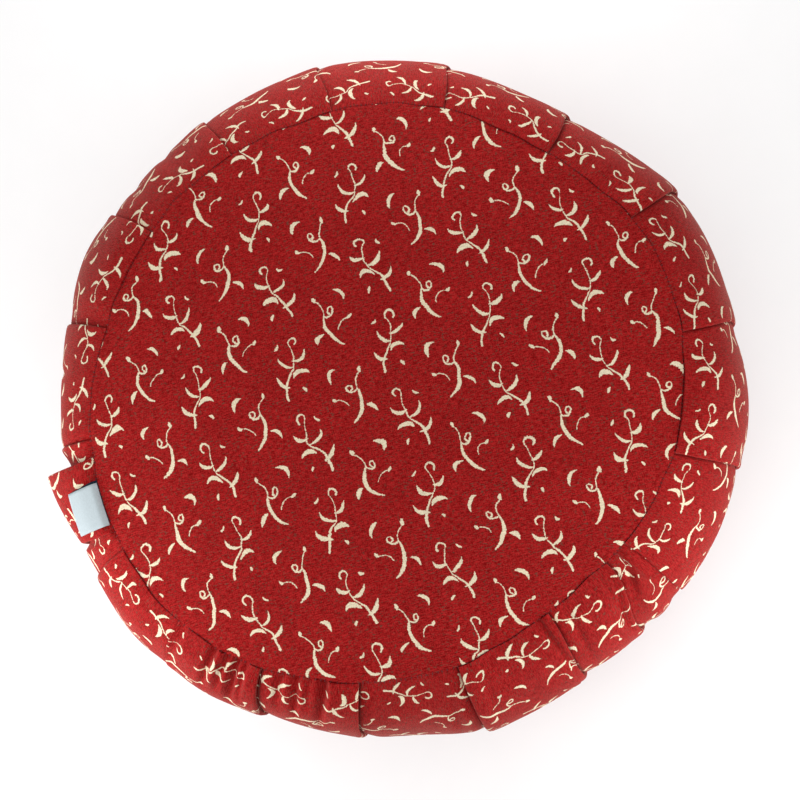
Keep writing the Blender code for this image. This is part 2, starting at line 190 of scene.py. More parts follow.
# How far from a seam, as a share of the way down the band, each of these grows or fades:
BAND_ROLL = 0.022  # the band's roll down into the seam
SEAM_PINCH = 0.12  # the seam's hold on the pleats, which keeps them flat there
PLEAT_WANDER = 0.45  # the wandering of a folded edge
FOLD_OPENED = 0.42  # the opening out of a fold, which is deepest near the seams
PRESS_ONSET = 0.35  # the drawing in of the band behind the strap
BOW_ONSET = 0.42  # the strap's bow away from the band
STRAP_THINNED = 0.08  # the strap's thinner, pressed end
TUCK_REACH = 0.045  # the strap's dive into the seam
GATHER_ONSET = 0.05  # the beginning of the band's gathers
GATHER_END = 0.30  # and their fading out
LUMP_ONSET = 0.25  # the lumps that the filling makes
SLACK_ONSET = 0.3  # the strap's unevenness
STRAP_LEAN_REACH = 0.5  # the strap's lean, from the upper seam
CREASE_LEAN_REACH = 0.4  # a crease's lean, from the upper seam

SEAM_FULLNESS = 0.4  # how much of its rise a pleat keeps in the seam
CREASE_ONSET = 0.35  # the share of a crease's length over which it deepens
CREASE_FADE = 0.45  # and over which it fades

# The gathers and the filling's lumps are sums of waves. A gather has its count and its start.
# A lump has its radians a metre along and across, and its start.
GATHERS = ((71, 0.6), (97, 2.1), (128, 4.0), (163, 1.2))
LUMPS = ((31, 47, 0.3), (-58, 39, 1.9), (83, -22, 3.1), (19, -96, 4.4), (112, 71, 0.8))
PANEL_GATHER = 0.022  # how far from the seam a panel is gathered
PANEL_GATHER_ONSET = 4  # how many times faster its gathers begin than they fade
PANEL_GATHER_DEPTH = 1.6  # times the band's
PANEL_LUMP_ONSET = 0.05  # how far from the seam its lumps are full

STRAP_DEG = 270.0
STRAP_LEAN_DEG = 1.2  # how much further round its upper end is sewn in
STRAP_STANDOFF = 0.0030
STRAP_TWIST = 0.0040  # its -X edge stands out by this more, and its +X edge by this less
STRAP_PRESS = 0.0032  # how far the band is drawn in behind the strap
STRAP_TUCK = 0.0021  # how far it dives into each seam, with the band behind it
STRAP_PRESS_EDGE = 0.0035  # the width over which it comes out again on the strap's +X side
STRAP_HOLLOW = 0.014  # the same on its -X side, where its bow leaves a hollow
STRAP_PRESS_HALF = 0.52  # half the pressed width, in widths of the strap
STRAP_ENDS = (0.008, 0.992)  # shares of the way down
STRAP_END_THICKNESS = 0.5  # of its thickness further on
STRAP_SLACK = 0.00035  # how unevenly it lies
STRAP_SLACK_WAVES = (26, 90)  # radians from seam to seam, and a metre across
STRAP_CROWN = 0.12  # how much thicker its middle is than its edges

LABEL_SLOPE = radians(27)
LABEL_ASIDE = 0.0045  # of its middle from the strap's, towards +X
LABEL_START = -0.0003  # of its open end from the seam
LABEL_TUCK = 0.0024  # how deep that end dives into the seam
LABEL_TUCK_REACH = 0.0015  # how far from its open end
LABEL_LIFT = 0.0023  # of its under layer from the band's round, at the seam
LABEL_RIBBON = 0.0004  # thickness of its ribbon
LABEL_SEWN = 0.0006  # from one layer's middle to the other's, at the seam
LABEL_PINCH = 0.0110  # how far from the seam they come apart
LABEL_FOLD_RADIUS = 0.0007
LABEL_FULLNESS = 0.0004  # how far its upper layer bulges
LABEL_SLIP = 0.0013  # of its under layer towards -X, at the open end
LABEL_SLIP_AT_FOLD = 0.0004
LABEL_CURL = 0.0003  # of its corners, down towards the strap

STITCH_LIFT = 0.0002  # of a stitch's middle from the bottom of the seam's groove
STITCH_BRIDGE = 0.0005  # length of its straight middle
STITCH_ENDS = ((0.00030, -0.00008, 0.92), (0.00022, -0.00022, 0.60))  # out, up and narrowed
STITCH_STRAY = 0.18  # of the pitch, from its even place

# ---- How finely it is modelled -----------------------------------------------------------

BAND_ROWS = 64
ROWS_CROWDED = 0.11  # how much closer together the rows are at the seams
FOLD_STEPS = (2, 3, 3, 2, 2, 3, 3, 2, 2)  # between two stations of a fold
REACH_STEPS = (7, 6, 6, 6, 7)  # from the fold, between the reaches, and to the next fold
CREASED_STEPS = (14, 12, 12, 12, 14)  # the same, where the cloth is creased
CREASED_AFTER = (299.8, 317.7, 336.8, 356.9, 18.0)  # the pleats that such cloth follows
FILLING_RADII = (0.040, 0.080, 0.112, 0.130, 0.140)
PANEL_COLUMNS = 360
PANEL_RINGS = 54
LINING_RINGS = 16  # on a panel's hidden side
RING_POWER = 1.5  # how much closer together they are at the edge
STRAP_ROWS = 72
STRAP_FOLD_COLUMNS = 9
STRAP_FACE_COLUMNS = 13
LABEL_COLUMNS = 17
LABEL_ROWS = 16
LABEL_FOLD_STEPS = 10
LABEL_BACK_ROW = LABEL_ROWS + 6  # where its navy layer begins, past the middle of the fold

UV_NAME = "cloth"  # metres along the cloth's threads


# ---- Sizes and colours that a user would change ------------------------------------------


def number(name, default, description, **settings):
    """A number that a user may change."""
    return FloatProperty(name=name, default=default, description=description, **settings)


def length(name, default, description, **settings):
    """A length that a user may change."""
    return number(name, default, description, unit="LENGTH", **settings)


def turn(name, degrees, description):
    """An angle that a user may change."""
    return number(name, radians(degrees), description, unit="ROTATION")


def colour(name, rgb, description):
    """A colour that a user may change."""
    return FloatVectorProperty(
        name=name, description=description, subtype="COLOR", size=4, default=(*rgb, 1.0)
    )


class CoverSizes(PropertyGroup):
    """The cover's outer sizes."""

    height: length("Height", CROWN_TOP, "Floor to the top of the crown")
    belly_radius: length(
        "Belly Radius", 0.1764, "Of the band between two pleats, where it is widest"
    )
    belly_height: length("Belly Height", 0.068, "Where the band is widest")
    top_seam_radius: length("Top Seam Radius", 0.1466, "Where the top panel meets the band")
    top_seam_height: length("Top Seam Height", 0.123, "Where the top panel meets the band")
    bottom_seam_radius: length(
        "Bottom Seam Radius", 0.1470, "Where the bottom panel meets the band"
    )
    bottom_seam_height: length(
        "Bottom Seam Height", 0.014, "Where the bottom panel meets the band"
    )
    gather_depth: length("Gather Depth", 0.00042, "Of the small puckers where the cloth is sewn")
    unevenness: length(
        "Unevenness", 0.00045, "How far the filling pushes the cloth out here and there"
    )


class LinenLook(PropertyGroup):
    """The printed cloth's threads, print and colours."""

    thread_pitch: length(
        "Thread Pitch", 0.00055, "From one thread of the weave to the next", precision=5
    )
    weave_turn: turn("Weave Turn", 86.5, "Of the threads in the round panels, from the +X axis")
    column_pitch: length(
        "Sprig Column Pitch", 0.0250, "From one column of printed sprigs to the next"
    )
    repeat: length("Sprig Repeat", 0.0390, "From one printed sprig to the next in its column")
    red: colour("Red", (0.310, 0.0020, 0.0023), "Colour of the cloth")
    fleck: colour("Fleck", (0.135, 0.052, 0.034), "Colour of the olive-brown flecks in the yarn")
    cream: colour("Cream", (0.880, 0.760, 0.540), "Colour of the printed sprigs")


class FittingSizes(PropertyGroup):
    """The strap, the label and the stitches."""

    strap_width: length("Strap Width", 0.038, "Folded width")
    strap_thickness: length("Strap Thickness", 0.0018, "Of its folded layers", precision=4)
    label_width: length("Label Width", 0.0216, "Along the seam")
    label_length: length("Label Length", 0.0168, "From its open end to its fold")
    label_white: colour("Label White", (0.50, 0.57, 0.60), "Colour of the label's face")
    label_navy: colour("Label Navy", (0.010, 0.022, 0.040), "Colour of the label's back layer")
    stitch_pitch: length(
        "Stitch Pitch", 0.0027, "From one stitch of a seam to the next", precision=4
    )
    thread_width: length("Thread Width", 0.00045, "Of the sewing thread", precision=5)
    # The thread's dark colour is partly painted shade, for the dimples where the stitches pull the
    # seam in.
    thread_colour_and_painted_shade: colour("Thread Colour", (0.085, 0.006, 0.007), "Colour of the sewing thread")


class StudioSettings(PropertyGroup):
    """Floor, light and camera."""

    floor_size: length("Floor Size", 6.0, "Side of the floor")
    side_light: number("Side Light", 0.0, "Strength of the tent's light near the floor")
    top_light: number("Top Light", 1.03, "Strength of the tent's light overhead")
    floor_light: number("Floor Light", 0.40, "Strength of the floor's own light")
    lens: number("Lens", 130.3, "Focal length in millimetres")
    camera_distance: length("Camera Distance", 1.5, "From the middle of the cushion")
    camera_tilt: turn("Camera Tilt", 8.5, "Of the view, away from straight down")


# ---- Shape of the cover ------------------------------------------------------------------


def smooth(x):
    """A soft step from 0 to 1 as x goes from 0 to 1."""
    x = np.clip(x, 0.0, 1.0)
    return x * x * (3 - 2 * x)


def swelling(wave, angle):
    """How far one wave swells the cover at that angle."""
    return wave.swell * np.cos(wave.count * (angle - radians(wave.toward_deg)))


def place(size, radius, angle, height):
    """The points at that radius, angle and height, with the cover's unevenness."""
    rise = size.top_seam_height - size.belly_height
    towards_top = smooth((height - size.belly_height) / rise)
    swell = sum(swelling(wave, angle) for wave in UNEVEN)
    swell = swell + towards_top * sum(swelling(wave, angle) for wave in TOP_UNEVEN)
    radius = radius * (1 + swell / size.belly_radius)
    x = radius * np.cos(angle)
    y = radius * np.sin(angle)
    return np.stack(np.broadcast_arrays(x, y, height), axis=-1)


def band_arc(size, down):
    """The band's smooth surface, `down` from the top seam (0) to the bottom one (1).

    Gives its radius, its height, and its normal's parts outward and upward.
    """
    t = TOP_ANGLE - (TOP_ANGLE + BOTTOM_ANGLE) * np.asarray(down)
    above = t >= 0
    top_wide = (size.belly_radius - size.top_seam_radius) / (1 - cos(TOP_ANGLE))
    top_tall = (size.top_seam_height - size.belly_height) / sin(TOP_ANGLE)
    bottom_wide = (size.belly_radius - size.bottom_seam_radius) / (1 - cos(BOTTOM_ANGLE))
    bottom_tall = (size.belly_height - size.bottom_seam_height) / sin(BOTTOM_ANGLE)
    wide = np.where(above, top_wide, bottom_wide)
    tall = np.where(above, top_tall, bottom_tall)
    radius = size.belly_radius - wide * (1 - np.cos(t))
    height = size.belly_height + tall * np.sin(t)
    length = np.hypot(tall * np.cos(t), wide * np.sin(t))
    return radius, height, tall * np.cos(t) / length, wide * np.sin(t) / length


def from_seam(down, reach):
    """A soft step from 0 at either seam to 1 at `reach` from it, and from there on."""
    return smooth(np.minimum(down, 1 - down) / reach)


def seam_roll(down, normal_up):
    """How far the band's edge has rolled into the nearer seam, down or up."""
    return np.copysign(SEAM_DEPTH * (1 - from_seam(down, BAND_ROLL)), normal_up)


def top_height(size, radius):
    """Height of the top panel's outer face."""
    share = radius / size.top_seam_radius
    crown = (size.height - size.top_seam_height) * (1 - share**CROWN_POWER)
    roll = SEAM_DEPTH * smooth((radius - size.top_seam_radius + SEAM_ROLL) / SEAM_ROLL)
    return size.top_seam_height + crown - roll


def bottom_height(size, radius):
    """Height of the bottom panel's outer face, which is flat where it rests on the floor."""
    beyond = (radius - REST_RADIUS) / (size.bottom_seam_radius - REST_RADIUS)
    roll = SEAM_DEPTH * smooth((radius - size.bottom_seam_radius + SEAM_ROLL) / SEAM_ROLL)
    return size.bottom_seam_height * np.maximum(0.0, beyond) ** UNDERSIDE_POWER + roll


def panel_edge(seam_radius):
    """The radius of a panel's edge, just inside its seam."""
    return seam_radius - 1.5 * SEAM_GAP


def gathers(angle):
    """Small waves round a seam, from -1 to 1, where the needle has drawn the cloth up."""
    drawn_up = sum(np.sin(count * angle + start) for count, start in GATHERS) / len(GATHERS)
    strength = 0.6 + 0.4 * np.cos(angle - radians(PUCKERED_DEG))
    return drawn_up * strength


def pushed_out(along, across):
    """How the filling pushes the cloth out here and there, from -1 to 1. Both are in metres."""
    total = sum(np.sin(a * along + b * across + start) for a, b, start in LUMPS)
    return total / len(LUMPS)


# ---- The pleated band --------------------------------------------------------------------


def pleat_edge(pleat, down):
    """The angle of a pleat's folded edge."""
    return np.radians(pleat.seam_deg + pleat.lean_deg * from_seam(down, PLEAT_WANDER))


def fold_stations(pleat, down, radius, full, free):
    """(angle, out) of each station of one fold, by increasing angle."""
    edge = pleat_edge(pleat, down)
    opened = from_seam(down, FOLD_OPENED)
    dive = pleat.dive * (DIVE_SEWN + (1 - DIVE_SEWN) * free - DIVE_OPENED * opened)
    stations = []
    for s in FOLD:
        across = s.sewn + (s.free - s.sewn) * free
        out = s.rise * pleat.rise * full + s.out * dive
        stations.append((edge + pleat.laid * across / radius, out))
    return stations[:: pleat.laid]


def fold_width(side):
    """How far a fold goes on from its edge: on top of it where `side` is 1, else below it."""
    return FOLD[-1].free if side == 1 else -FOLD[0].free


def reach_stations(pleat, following, down, radius, full, free):
    """(angle, out) of each station of the cloth between two folds."""
    edge = pleat_edge(pleat, down)
    span = (pleat_edge(following, down) - edge) % tau
    start = fold_width(pleat.laid) / radius
    end = span - fold_width(-following.laid) / radius
    stations = []
    for s in REACHES:
        share = (start + (end - start) * s.share) / span
        angle = edge + share * span
        gathered = 4 * free * (1 - free) * (0.5 + 0.5 * np.cos(angle - radians(PUCKERED_DEG)))
        out = s.billow * pleat.billow * full + s.pucker * gathered
        if pleat.laid == 1:
            out = out + pleat.rise * full * (1 - share) ** 2
        if following.laid == -1:
            out = out + following.rise * full * share**2
        stations.append((angle, out))
    return stations


def band_stations(size, down):
    """The angle and the height out of every station, with a row for each place `down`."""
    radius = band_arc(size, down)[0]
    free = from_seam(down, SEAM_PINCH)
    full = SEAM_FULLNESS + (1 - SEAM_FULLNESS) * free
    stations = []
    for pleat, following in zip(PLEATS, PLEATS[1:] + PLEATS[:1]):
        stations += fold_stations(pleat, down, radius, full, free)
        stations += reach_stations(pleat, following, down, radius, full, free)
    angles = np.unwrap(np.hstack([angle for angle, _ in stations]), axis=1)
    return angles, np.hstack([out for _, out in stations])


def lengths_round(angle, out, radius):
    """How far it is from each place of a closed row to the next."""
    turned_by = np.diff(angle, append=angle[0] + tau)
    return np.hypot(turned_by * radius, np.diff(out, append=out[0]))


def spline_round(values, closing, spacing, steps):
    """A smooth line through the values of each row, which meets itself `closing` further on."""
    following = np.roll(values, -1, axis=1)
    following[:, -1] += closing
    slope = (following - values) / spacing
    before = np.roll(spacing, 1)
    tangent = (spacing * np.roll(slope, 1, axis=1) + before * slope) / (before + spacing)
    i = np.repeat(np.arange(len(steps)), steps)
    t = np.concatenate([np.arange(n) / n for n in steps])
    run = spacing[i] * t * (1 - t)
    return (
        values[:, i]
        + (following - values)[:, i] * smooth(t)
        + run * (1 - t) * tangent[:, i]
        - run * t * np.roll(tangent, -1, axis=1)[:, i]
    )


def crease_depth(crease, angle, down, radius):
    """How far one crease sinks the band at those places."""
    leant = radians(crease.lean_deg) * smooth(down / CREASE_LEAN_REACH)
    middle = radians(crease.deg) + leant
    aside = (angle - middle + pi) % tau - pi
    across = np.exp(-((aside * radius / crease.wide) ** 2))
    length = crease.end - crease.start
    begun = smooth((down - crease.start) / (CREASE_ONSET * length))
    ending = smooth((crease.end - down) / (CREASE_FADE * length))
    return crease.deep * across * (begun * ending)


def strap_angle(down):
    """The angle of the strap's middle line."""
    leant = STRAP_LEAN_DEG * (1 - smooth(np.asarray(down) / STRAP_LEAN_REACH))
    return np.radians(STRAP_DEG + leant)


def strap_tuck(down):
    """How far the strap has dived into the nearer seam, with the band behind it."""
    return STRAP_TUCK * (1 - from_seam(down, TUCK_REACH))


def strap_pressing(size, angle, down, strap_width):
    """1 behind the strap, where it holds the band flat, and 0 away from it."""
    from_middle = ((angle - strap_angle(down) + pi) % tau - pi) * band_arc(size, down)[0]
    edge = np.where(from_middle > 0, STRAP_PRESS_EDGE, STRAP_HOLLOW)
    return 1 - smooth((np.abs(from_middle) - strap_width * STRAP_PRESS_HALF) / edge)


def band_rows():
    """The place of each row down the band, closest together at the seams."""
    share = np.linspace(0.0, 1.0, BAND_ROWS)
    return share - ROWS_CROWDED * np.sin(tau * share)


def band_steps():
    """How many columns of faces there are from each station of the band to the next."""
    steps = ()
    for pleat in PLEATS:
        creased = pleat.seam_deg in CREASED_AFTER
        steps += FOLD_STEPS + (CREASED_STEPS if creased else REACH_STEPS)
    return steps


def band_relief(size, out, angle, down, radius, height, strap_width):
    """How far the band's cloth stands out, with its creases, its gathers and its lumps."""
    out = out - sum(crease_depth(crease, angle, down, radius) for crease in CREASES)
    near_seam = from_seam(down, GATHER_ONSET) * (1 - from_seam(down, GATHER_END))
    out = out + size.gather_depth * gathers(angle) * near_seam
    lumps = pushed_out(angle * radius, height) * from_seam(down, LUMP_ONSET)
    out = out + size.unevenness * lumps
    pressed = strap_pressing(size, angle, down, strap_width)
    drawn_in = STRAP_PRESS * from_seam(down, PRESS_ONSET) + strap_tuck(down)
    return out * (1 - pressed) - drawn_in * pressed


def band_surface(size, strap_width):
    """The band's points by row and column, and how long its cloth is round and down."""
    down = band_rows()[:, None]
    radius, height, normal_out, normal_up = band_arc(size, down)
    angles, outs = band_stations(size, down)
    belly = BAND_ROWS // 2
    spacing = lengths_round(angles[belly], outs[belly], size.belly_radius)
    steps = band_steps()
    angle = spline_round(angles, tau, spacing, steps)
    out = spline_round(outs, 0.0, spacing, steps)
    round_length = lengths_round(angle[belly], out[belly], size.belly_radius)
    down_length = np.hypot(np.diff(radius[:, 0]), np.diff(height[:, 0]))

    out = band_relief(size, out, angle, down, radius, height, strap_width)
    height = height - seam_roll(down, normal_up) + out * normal_up
    points = place(size, radius + out * normal_out, angle, height)
    around = np.concatenate([[0.0], np.cumsum(round_length)])
    downward = np.concatenate([[0.0], np.cumsum(down_length)])
    return points, angle, around, downward


def panel_relief(size, radius, angle, seam_radius, lumpy):
    """How far a panel's cloth stands off its smooth form; only a lumpy one shows the filling."""
    x = radius * np.cos(angle)
    y = radius * np.sin(angle)
    from_edge = (seam_radius - radius) / PANEL_GATHER
    at_seam = smooth(from_edge * PANEL_GATHER_ONSET) * (1 - smooth(from_edge))
    inside = smooth((seam_radius - radius) / PANEL_LUMP_ONSET) * lumpy
    lumps = size.unevenness * pushed_out(x, y) * inside
    return lumps + PANEL_GATHER_DEPTH * size.gather_depth * gathers(angle) * at_seam


def filling_rings(size, angle, seam_radius, height_of, offset):
    """The filling's face under a panel, from its middle out to the seam."""
    radii = FILLING_RADII + (panel_edge(seam_radius), seam_radius - SEAM_GAP / 2)
    return [place(size, radius, angle, height_of(size, radius) + offset) for radius in radii]


def make_band(context):
    """The side band with the filling that it holds, as one closed piece."""
    size = context.scene.cover_sizes
    linen = context.scene.linen_look
    points, angle, around, downward = band_surface(size, context.scene.fitting_sizes.strap_width)
    under = PANEL_CLOTH + APART
    top = filling_rings(size, angle[0], size.top_seam_radius, top_height, -under)
    bottom = filling_rings(size, angle[-1], size.bottom_seam_radius, bottom_height, under)
    rings = np.stack(top + list(points) + bottom[::-1])
    poles = ((0.0, 0.0, size.height - under), (0.0, 0.0, under))

    # The print meets itself where the band's ends are joined.
    repeats = round(around[-1] / linen.repeat)
    along = around * (repeats * linen.repeat / around[-1])
    across = np.concatenate(
        [np.full(len(top), downward[0]), downward, np.full(len(bottom), downward[-1])]
    )
    grid = np.stack(np.meshgrid(across, along, indexing="ij"), axis=-1)
    return closed_surface("side_band_cloth", rings, poles, grid)


# ---- Building meshes ---------------------------------------------------------------------


def grid_corners(rows, columns):
    """(row, column) of each corner of every face in a grid; the last column closes the round."""
    r, c = np.mgrid[0 : rows - 1, 0:columns]
    corners = ((r, c), (r + 1, c), (r + 1, c + 1), (r, c + 1))
    return np.stack([np.stack(corner, axis=-1) for corner in corners], axis=2).reshape(-1, 4, 2)


def closed_surface(name, rings, poles, cloth_grid):
    """A mesh object over rings of points that run round the same way, closed at both poles.

    cloth_grid holds where each point lies on the flat cloth, with one more column than the
    rings have, so that the pattern doesn't jump where the round closes.
    """
    rows, columns = rings.shape[:2]
    corners = grid_corners(rows, columns)
    quads = corners[..., 0] * columns + corners[..., 1] % columns
    vertices = np.concatenate([rings.reshape(-1, 3), np.array(poles)])
    faces = quads.tolist()
    cloth = [cloth_grid[corners[..., 0], corners[..., 1]].reshape(-1, 2)]
    this = np.arange(columns)
    following = this + 1
    for row, pole, first, second in ((0, -2, this, following), (rows - 1, -1, following, this)):
        tip = np.full(columns, len(vertices) + pole)
        ends = [row * columns + first % columns, row * columns + second % columns]
        faces += np.stack([tip, *ends], axis=1).tolist()
        middle = np.broadcast_to(cloth_grid[row].mean(axis=0), (columns, 2))
        fan = np.stack([middle, cloth_grid[row][first], cloth_grid[row][second]], axis=1)
        cloth.append(fan.reshape(-1, 2))
    return cloth_object(name, vertices, faces, np.concatenate(cloth))


def linked_object(name, data):
    """An object with that data, in the scene."""
    made = bpy.data.objects.new(name, data)
    bpy.context.collection.objects.link(made)
    return made


def smooth_mesh(name, vertices, faces):
    """A mesh with smooth faces."""
    mesh = bpy.data.meshes.new(name)
    mesh.from_pydata(vertices.tolist(), [], faces)
    mesh.shade_smooth()
    mesh.update()
    return mesh


def cloth_object(name, vertices, faces, cloth):
    """A smooth mesh object with the cloth's own coordinates as its UV map."""
    mesh = smooth_mesh(name, vertices, faces)
    mesh.uv_layers.new(name=UV_NAME).uv.foreach_set("vector", cloth.astype(np.float32).ravel())
    return linked_object(name, mesh)


# ---- The round panels --------------------------------------------------------------------


def ring_radii(edge, count):
    """Radii of a panel's rings, closest together at its edge."""
    share = np.linspace(0.0, 1.0, count + 1)[1:]
    return edge * (1 - (1 - share) ** RING_POWER)


def panel_rings(size, radii, angle, seam_radius, height_of, offset, lumpy):
    """Rings of one face of a panel."""
    rings = []
    for radius in radii:
        relief = panel_relief(size, radius, angle, seam_radius, lumpy)
        height = height_of(size, radius) + offset + relief
        rings.append(place(size, radius, angle, height))
    return rings


def make_panel(context, name, seam_radius, height_of, faces_up):
    """A round panel: its outer face, its edge and its hidden face."""
    size = context.scene.cover_sizes
    turn = context.scene.linen_look.weave_turn
    angle = np.arange(PANEL_COLUMNS) * (tau / PANEL_COLUMNS)
    edge = panel_edge(seam_radius)
    thickness = -PANEL_CLOTH if faces_up else PANEL_CLOTH
    outer_radii = ring_radii(edge, PANEL_RINGS)
    inner_radii = ring_radii(edge, LINING_RINGS)
    outer = panel_rings(size, outer_radii, angle, seam_radius, height_of, 0.0, faces_up)
    inner = panel_rings(size, inner_radii, angle, seam_radius, height_of, thickness, faces_up)
    upper, lower = (outer, inner) if faces_up else (inner, outer)
    rings = np.stack(upper + lower[::-1])
    heights = sorted((height_of(size, 0.0), height_of(size, 0.0) + thickness), reverse=True)
    poles = [(0.0, 0.0, height) for height in heights]
    flat = np.concatenate([rings, rings[:, :1]], axis=1)
    cloth = np.stack(
        [
            flat[..., 0] * cos(turn) + flat[..., 1] * sin(turn),
            flat[..., 1] * cos(turn) - flat[..., 0] * sin(turn),
        ],
        axis=-1,
    )
    return closed_surface(name, rings, poles, cloth)


# ---- Strap and label ---------------------------------------------------------------------


def beside_strap_line(size, radius, angle, across, height):
    """The points at that radius on the strap's middle line, moved `across` at right angles."""
    return place(size, np.hypot(radius, across), angle + np.arctan2(across, radius), height)


def strap_section(width, thickness):
    """(across, lift) round the strap's section: folded edges, and a little full in its middle."""
    half = width / 2
    fold = thickness / 2
    turns = np.linspace(-pi / 2, pi / 2, STRAP_FOLD_COLUMNS)
    right = [(half - fold + fold * cos(a), fold + fold * sin(a)) for a in turns]
    left = [(-across, lift) for across, lift in reversed(right)]
    shares = np.linspace(-0.9, 0.9, STRAP_FACE_COLUMNS)
    crown = [
        (-s * (half - fold), thickness * (1.0 + STRAP_CROWN * (1 - s * s))) for s in shares
    ]
    back = [(s * (half - fold), 0.0) for s in shares]
    return np.array(right + crown + left + back)


def strap_ring(size, fittings, section, down):
    """The strap's section at one place on its way down."""
    across = section[:, 0]
    radius, height, normal_out, normal_up = band_arc(size, down)
    height = height - seam_roll(down, normal_up)
    thick = STRAP_END_THICKNESS + (1 - STRAP_END_THICKNESS) * from_seam(down, STRAP_THINNED)
    twist = -STRAP_TWIST * across / (fittings.strap_width / 2)
    standoff = APART + from_seam(down, BOW_ONSET) * (STRAP_STANDOFF + twist)
    a, b = STRAP_SLACK_WAVES
    slack = STRAP_SLACK * np.sin(a * down + b * across) * from_seam(down, SLACK_ONSET)
    out = standoff + slack + section[:, 1] * thick - strap_tuck(down)
    round_the_band = np.sqrt((radius + out * normal_out) ** 2 - across**2)
    height = height + out * normal_up
    return beside_strap_line(size, round_the_band, strap_angle(down), across, height)


def make_strap(context):
    """The carry strap, sewn into both seams and bowed out over the belly, and its length."""
    size = context.scene.cover_sizes
    fittings = context.scene.fitting_sizes
    section = strap_section(fittings.strap_width, fittings.strap_thickness)
    downs = np.linspace(*STRAP_ENDS, STRAP_ROWS)
    rings = np.stack([strap_ring(size, fittings, section, down) for down in downs])
    middle = rings.mean(axis=1)
    length = np.concatenate([[0.0], np.cumsum(np.linalg.norm(np.diff(middle, axis=0), axis=1))])
    girth = np.linalg.norm(np.diff(section, axis=0, append=section[:1]), axis=1)
    around = np.concatenate([[0.0], np.cumsum(girth)])
    grid = np.stack(np.meshgrid(length, around, indexing="ij"), axis=-1)[..., ::-1]
    poles = (middle[0], middle[-1])
    return closed_surface("carry_strap_cloth", rings, poles, grid), float(length[-1])


def label_ribbon(length):
    """(along, lift) down the middle of the label's ribbon: out on top, round the fold and back.

    The third column is how far the ribbon has slipped sideways.
    """
    fold = LABEL_FOLD_RADIUS
    out = np.linspace(0.0, length - fold, LABEL_ROWS)
    back = out[::-1]
    turned_by = np.linspace(0.0, pi, LABEL_FOLD_STEPS + 1)[1:-1]
    pinched = 1 - smooth(out / LABEL_PINCH)
    top_lift = 2 * fold * (1 - pinched) + LABEL_SEWN * pinched
    top_lift = top_lift + LABEL_FULLNESS * np.sin(pi * out / out[-1])
    top = np.stack([out, top_lift, 0 * out], axis=1)
    round_the_fold = np.stack(
        [
            out[-1] + fold * np.sin(turned_by),
            fold * (1 + np.cos(turned_by)),
            LABEL_SLIP_AT_FOLD * turned_by / pi,
        ],
        axis=1,
    )
    slipped = LABEL_SLIP_AT_FOLD + (LABEL_SLIP - LABEL_SLIP_AT_FOLD) * (1 - back / out[-1])
    under = np.stack([back, 0 * back, slipped], axis=1)
    return np.concatenate([top, round_the_fold, under])


def label_rings(size, fittings, ribbon):
    """The ribbon's section at each place along it, and how far across the corners lie."""
    along, lift, slipped = ribbon.T
    tangent = np.gradient(ribbon[:, :2], axis=0)
    tangent = tangent / np.linalg.norm(tangent, axis=1)[:, None]
    shares = np.linspace(-0.5, 0.5, LABEL_COLUMNS)
    side = np.concatenate([np.full(LABEL_COLUMNS, 0.5), np.full(LABEL_COLUMNS, -0.5)])
    across = np.concatenate([shares, shares[::-1]]) * fittings.label_width
    across = across[None, :] - slipped[:, None]
    out_of_seam = smooth(along / LABEL_TUCK_REACH)[:, None]
    thick = LABEL_RIBBON * side[None, :]
    along = along[:, None] - tangent[:, 1:] * thick + LABEL_START
    lift = lift[:, None] + tangent[:, :1] * thick + LABEL_LIFT
    curl = LABEL_CURL * (2 * across / fittings.label_width) ** 2 * (along / fittings.label_length)
    lift = lift - curl - LABEL_TUCK * (1 - out_of_seam)
    radius = size.top_seam_radius + along * cos(LABEL_SLOPE) + lift * sin(LABEL_SLOPE)
    height = size.top_seam_height - along * sin(LABEL_SLOPE) + lift * cos(LABEL_SLOPE)
    rings = beside_strap_line(size, radius, strap_angle(0.0), across + LABEL_ASIDE, height)
    return rings, across[0]


def label_back_faces(label, rows, columns):
    """1 for each of the label's faces that is on its navy layer, and 0 for the others."""
    in_back = np.zeros(len(label.data.polygons), dtype=np.int32)
    in_back[LABEL_BACK_ROW * columns :] = 1
    first_fan = (rows - 1) * columns
    in_back[first_fan : first_fan + columns] = 0
    return in_back


def make_label(context):
    """The folded label over the strap, which of its faces are navy, and its length."""
    fittings = context.scene.fitting_sizes
    ribbon = label_ribbon(fittings.label_length)
    rings, across = label_rings(context.scene.cover_sizes, fittings, ribbon)
    poles = (rings[0].mean(axis=0), rings[-1].mean(axis=0))
    steps = np.linalg.norm(np.diff(ribbon[:, :2], axis=0), axis=1)
    length = np.concatenate([[0.0], np.cumsum(steps)])
    round_the_section = np.concatenate([across, across[:1]])
    grid = np.stack(np.meshgrid(length, round_the_section, indexing="ij"), axis=-1)[..., ::-1]
    label = closed_surface("label_ribbon", rings, poles, grid)
    return label, label_back_faces(label, *rings.shape[:2]), float(length[-1])


# ---- Seam stitches -----------------------------------------------------------------------


def select_facing(mesh, direction):
    """Selects the faces of the mesh in edit mode that face that way, and nothing else."""
    bpy.ops.mesh.select_all(action="DESELECT")
    bpy.ops.object.mode_set(mode="OBJECT")
    for face in mesh.polygons:
        face.select = face.normal.dot(direction) > 0.99
    bpy.ops.object.mode_set(mode="EDIT")


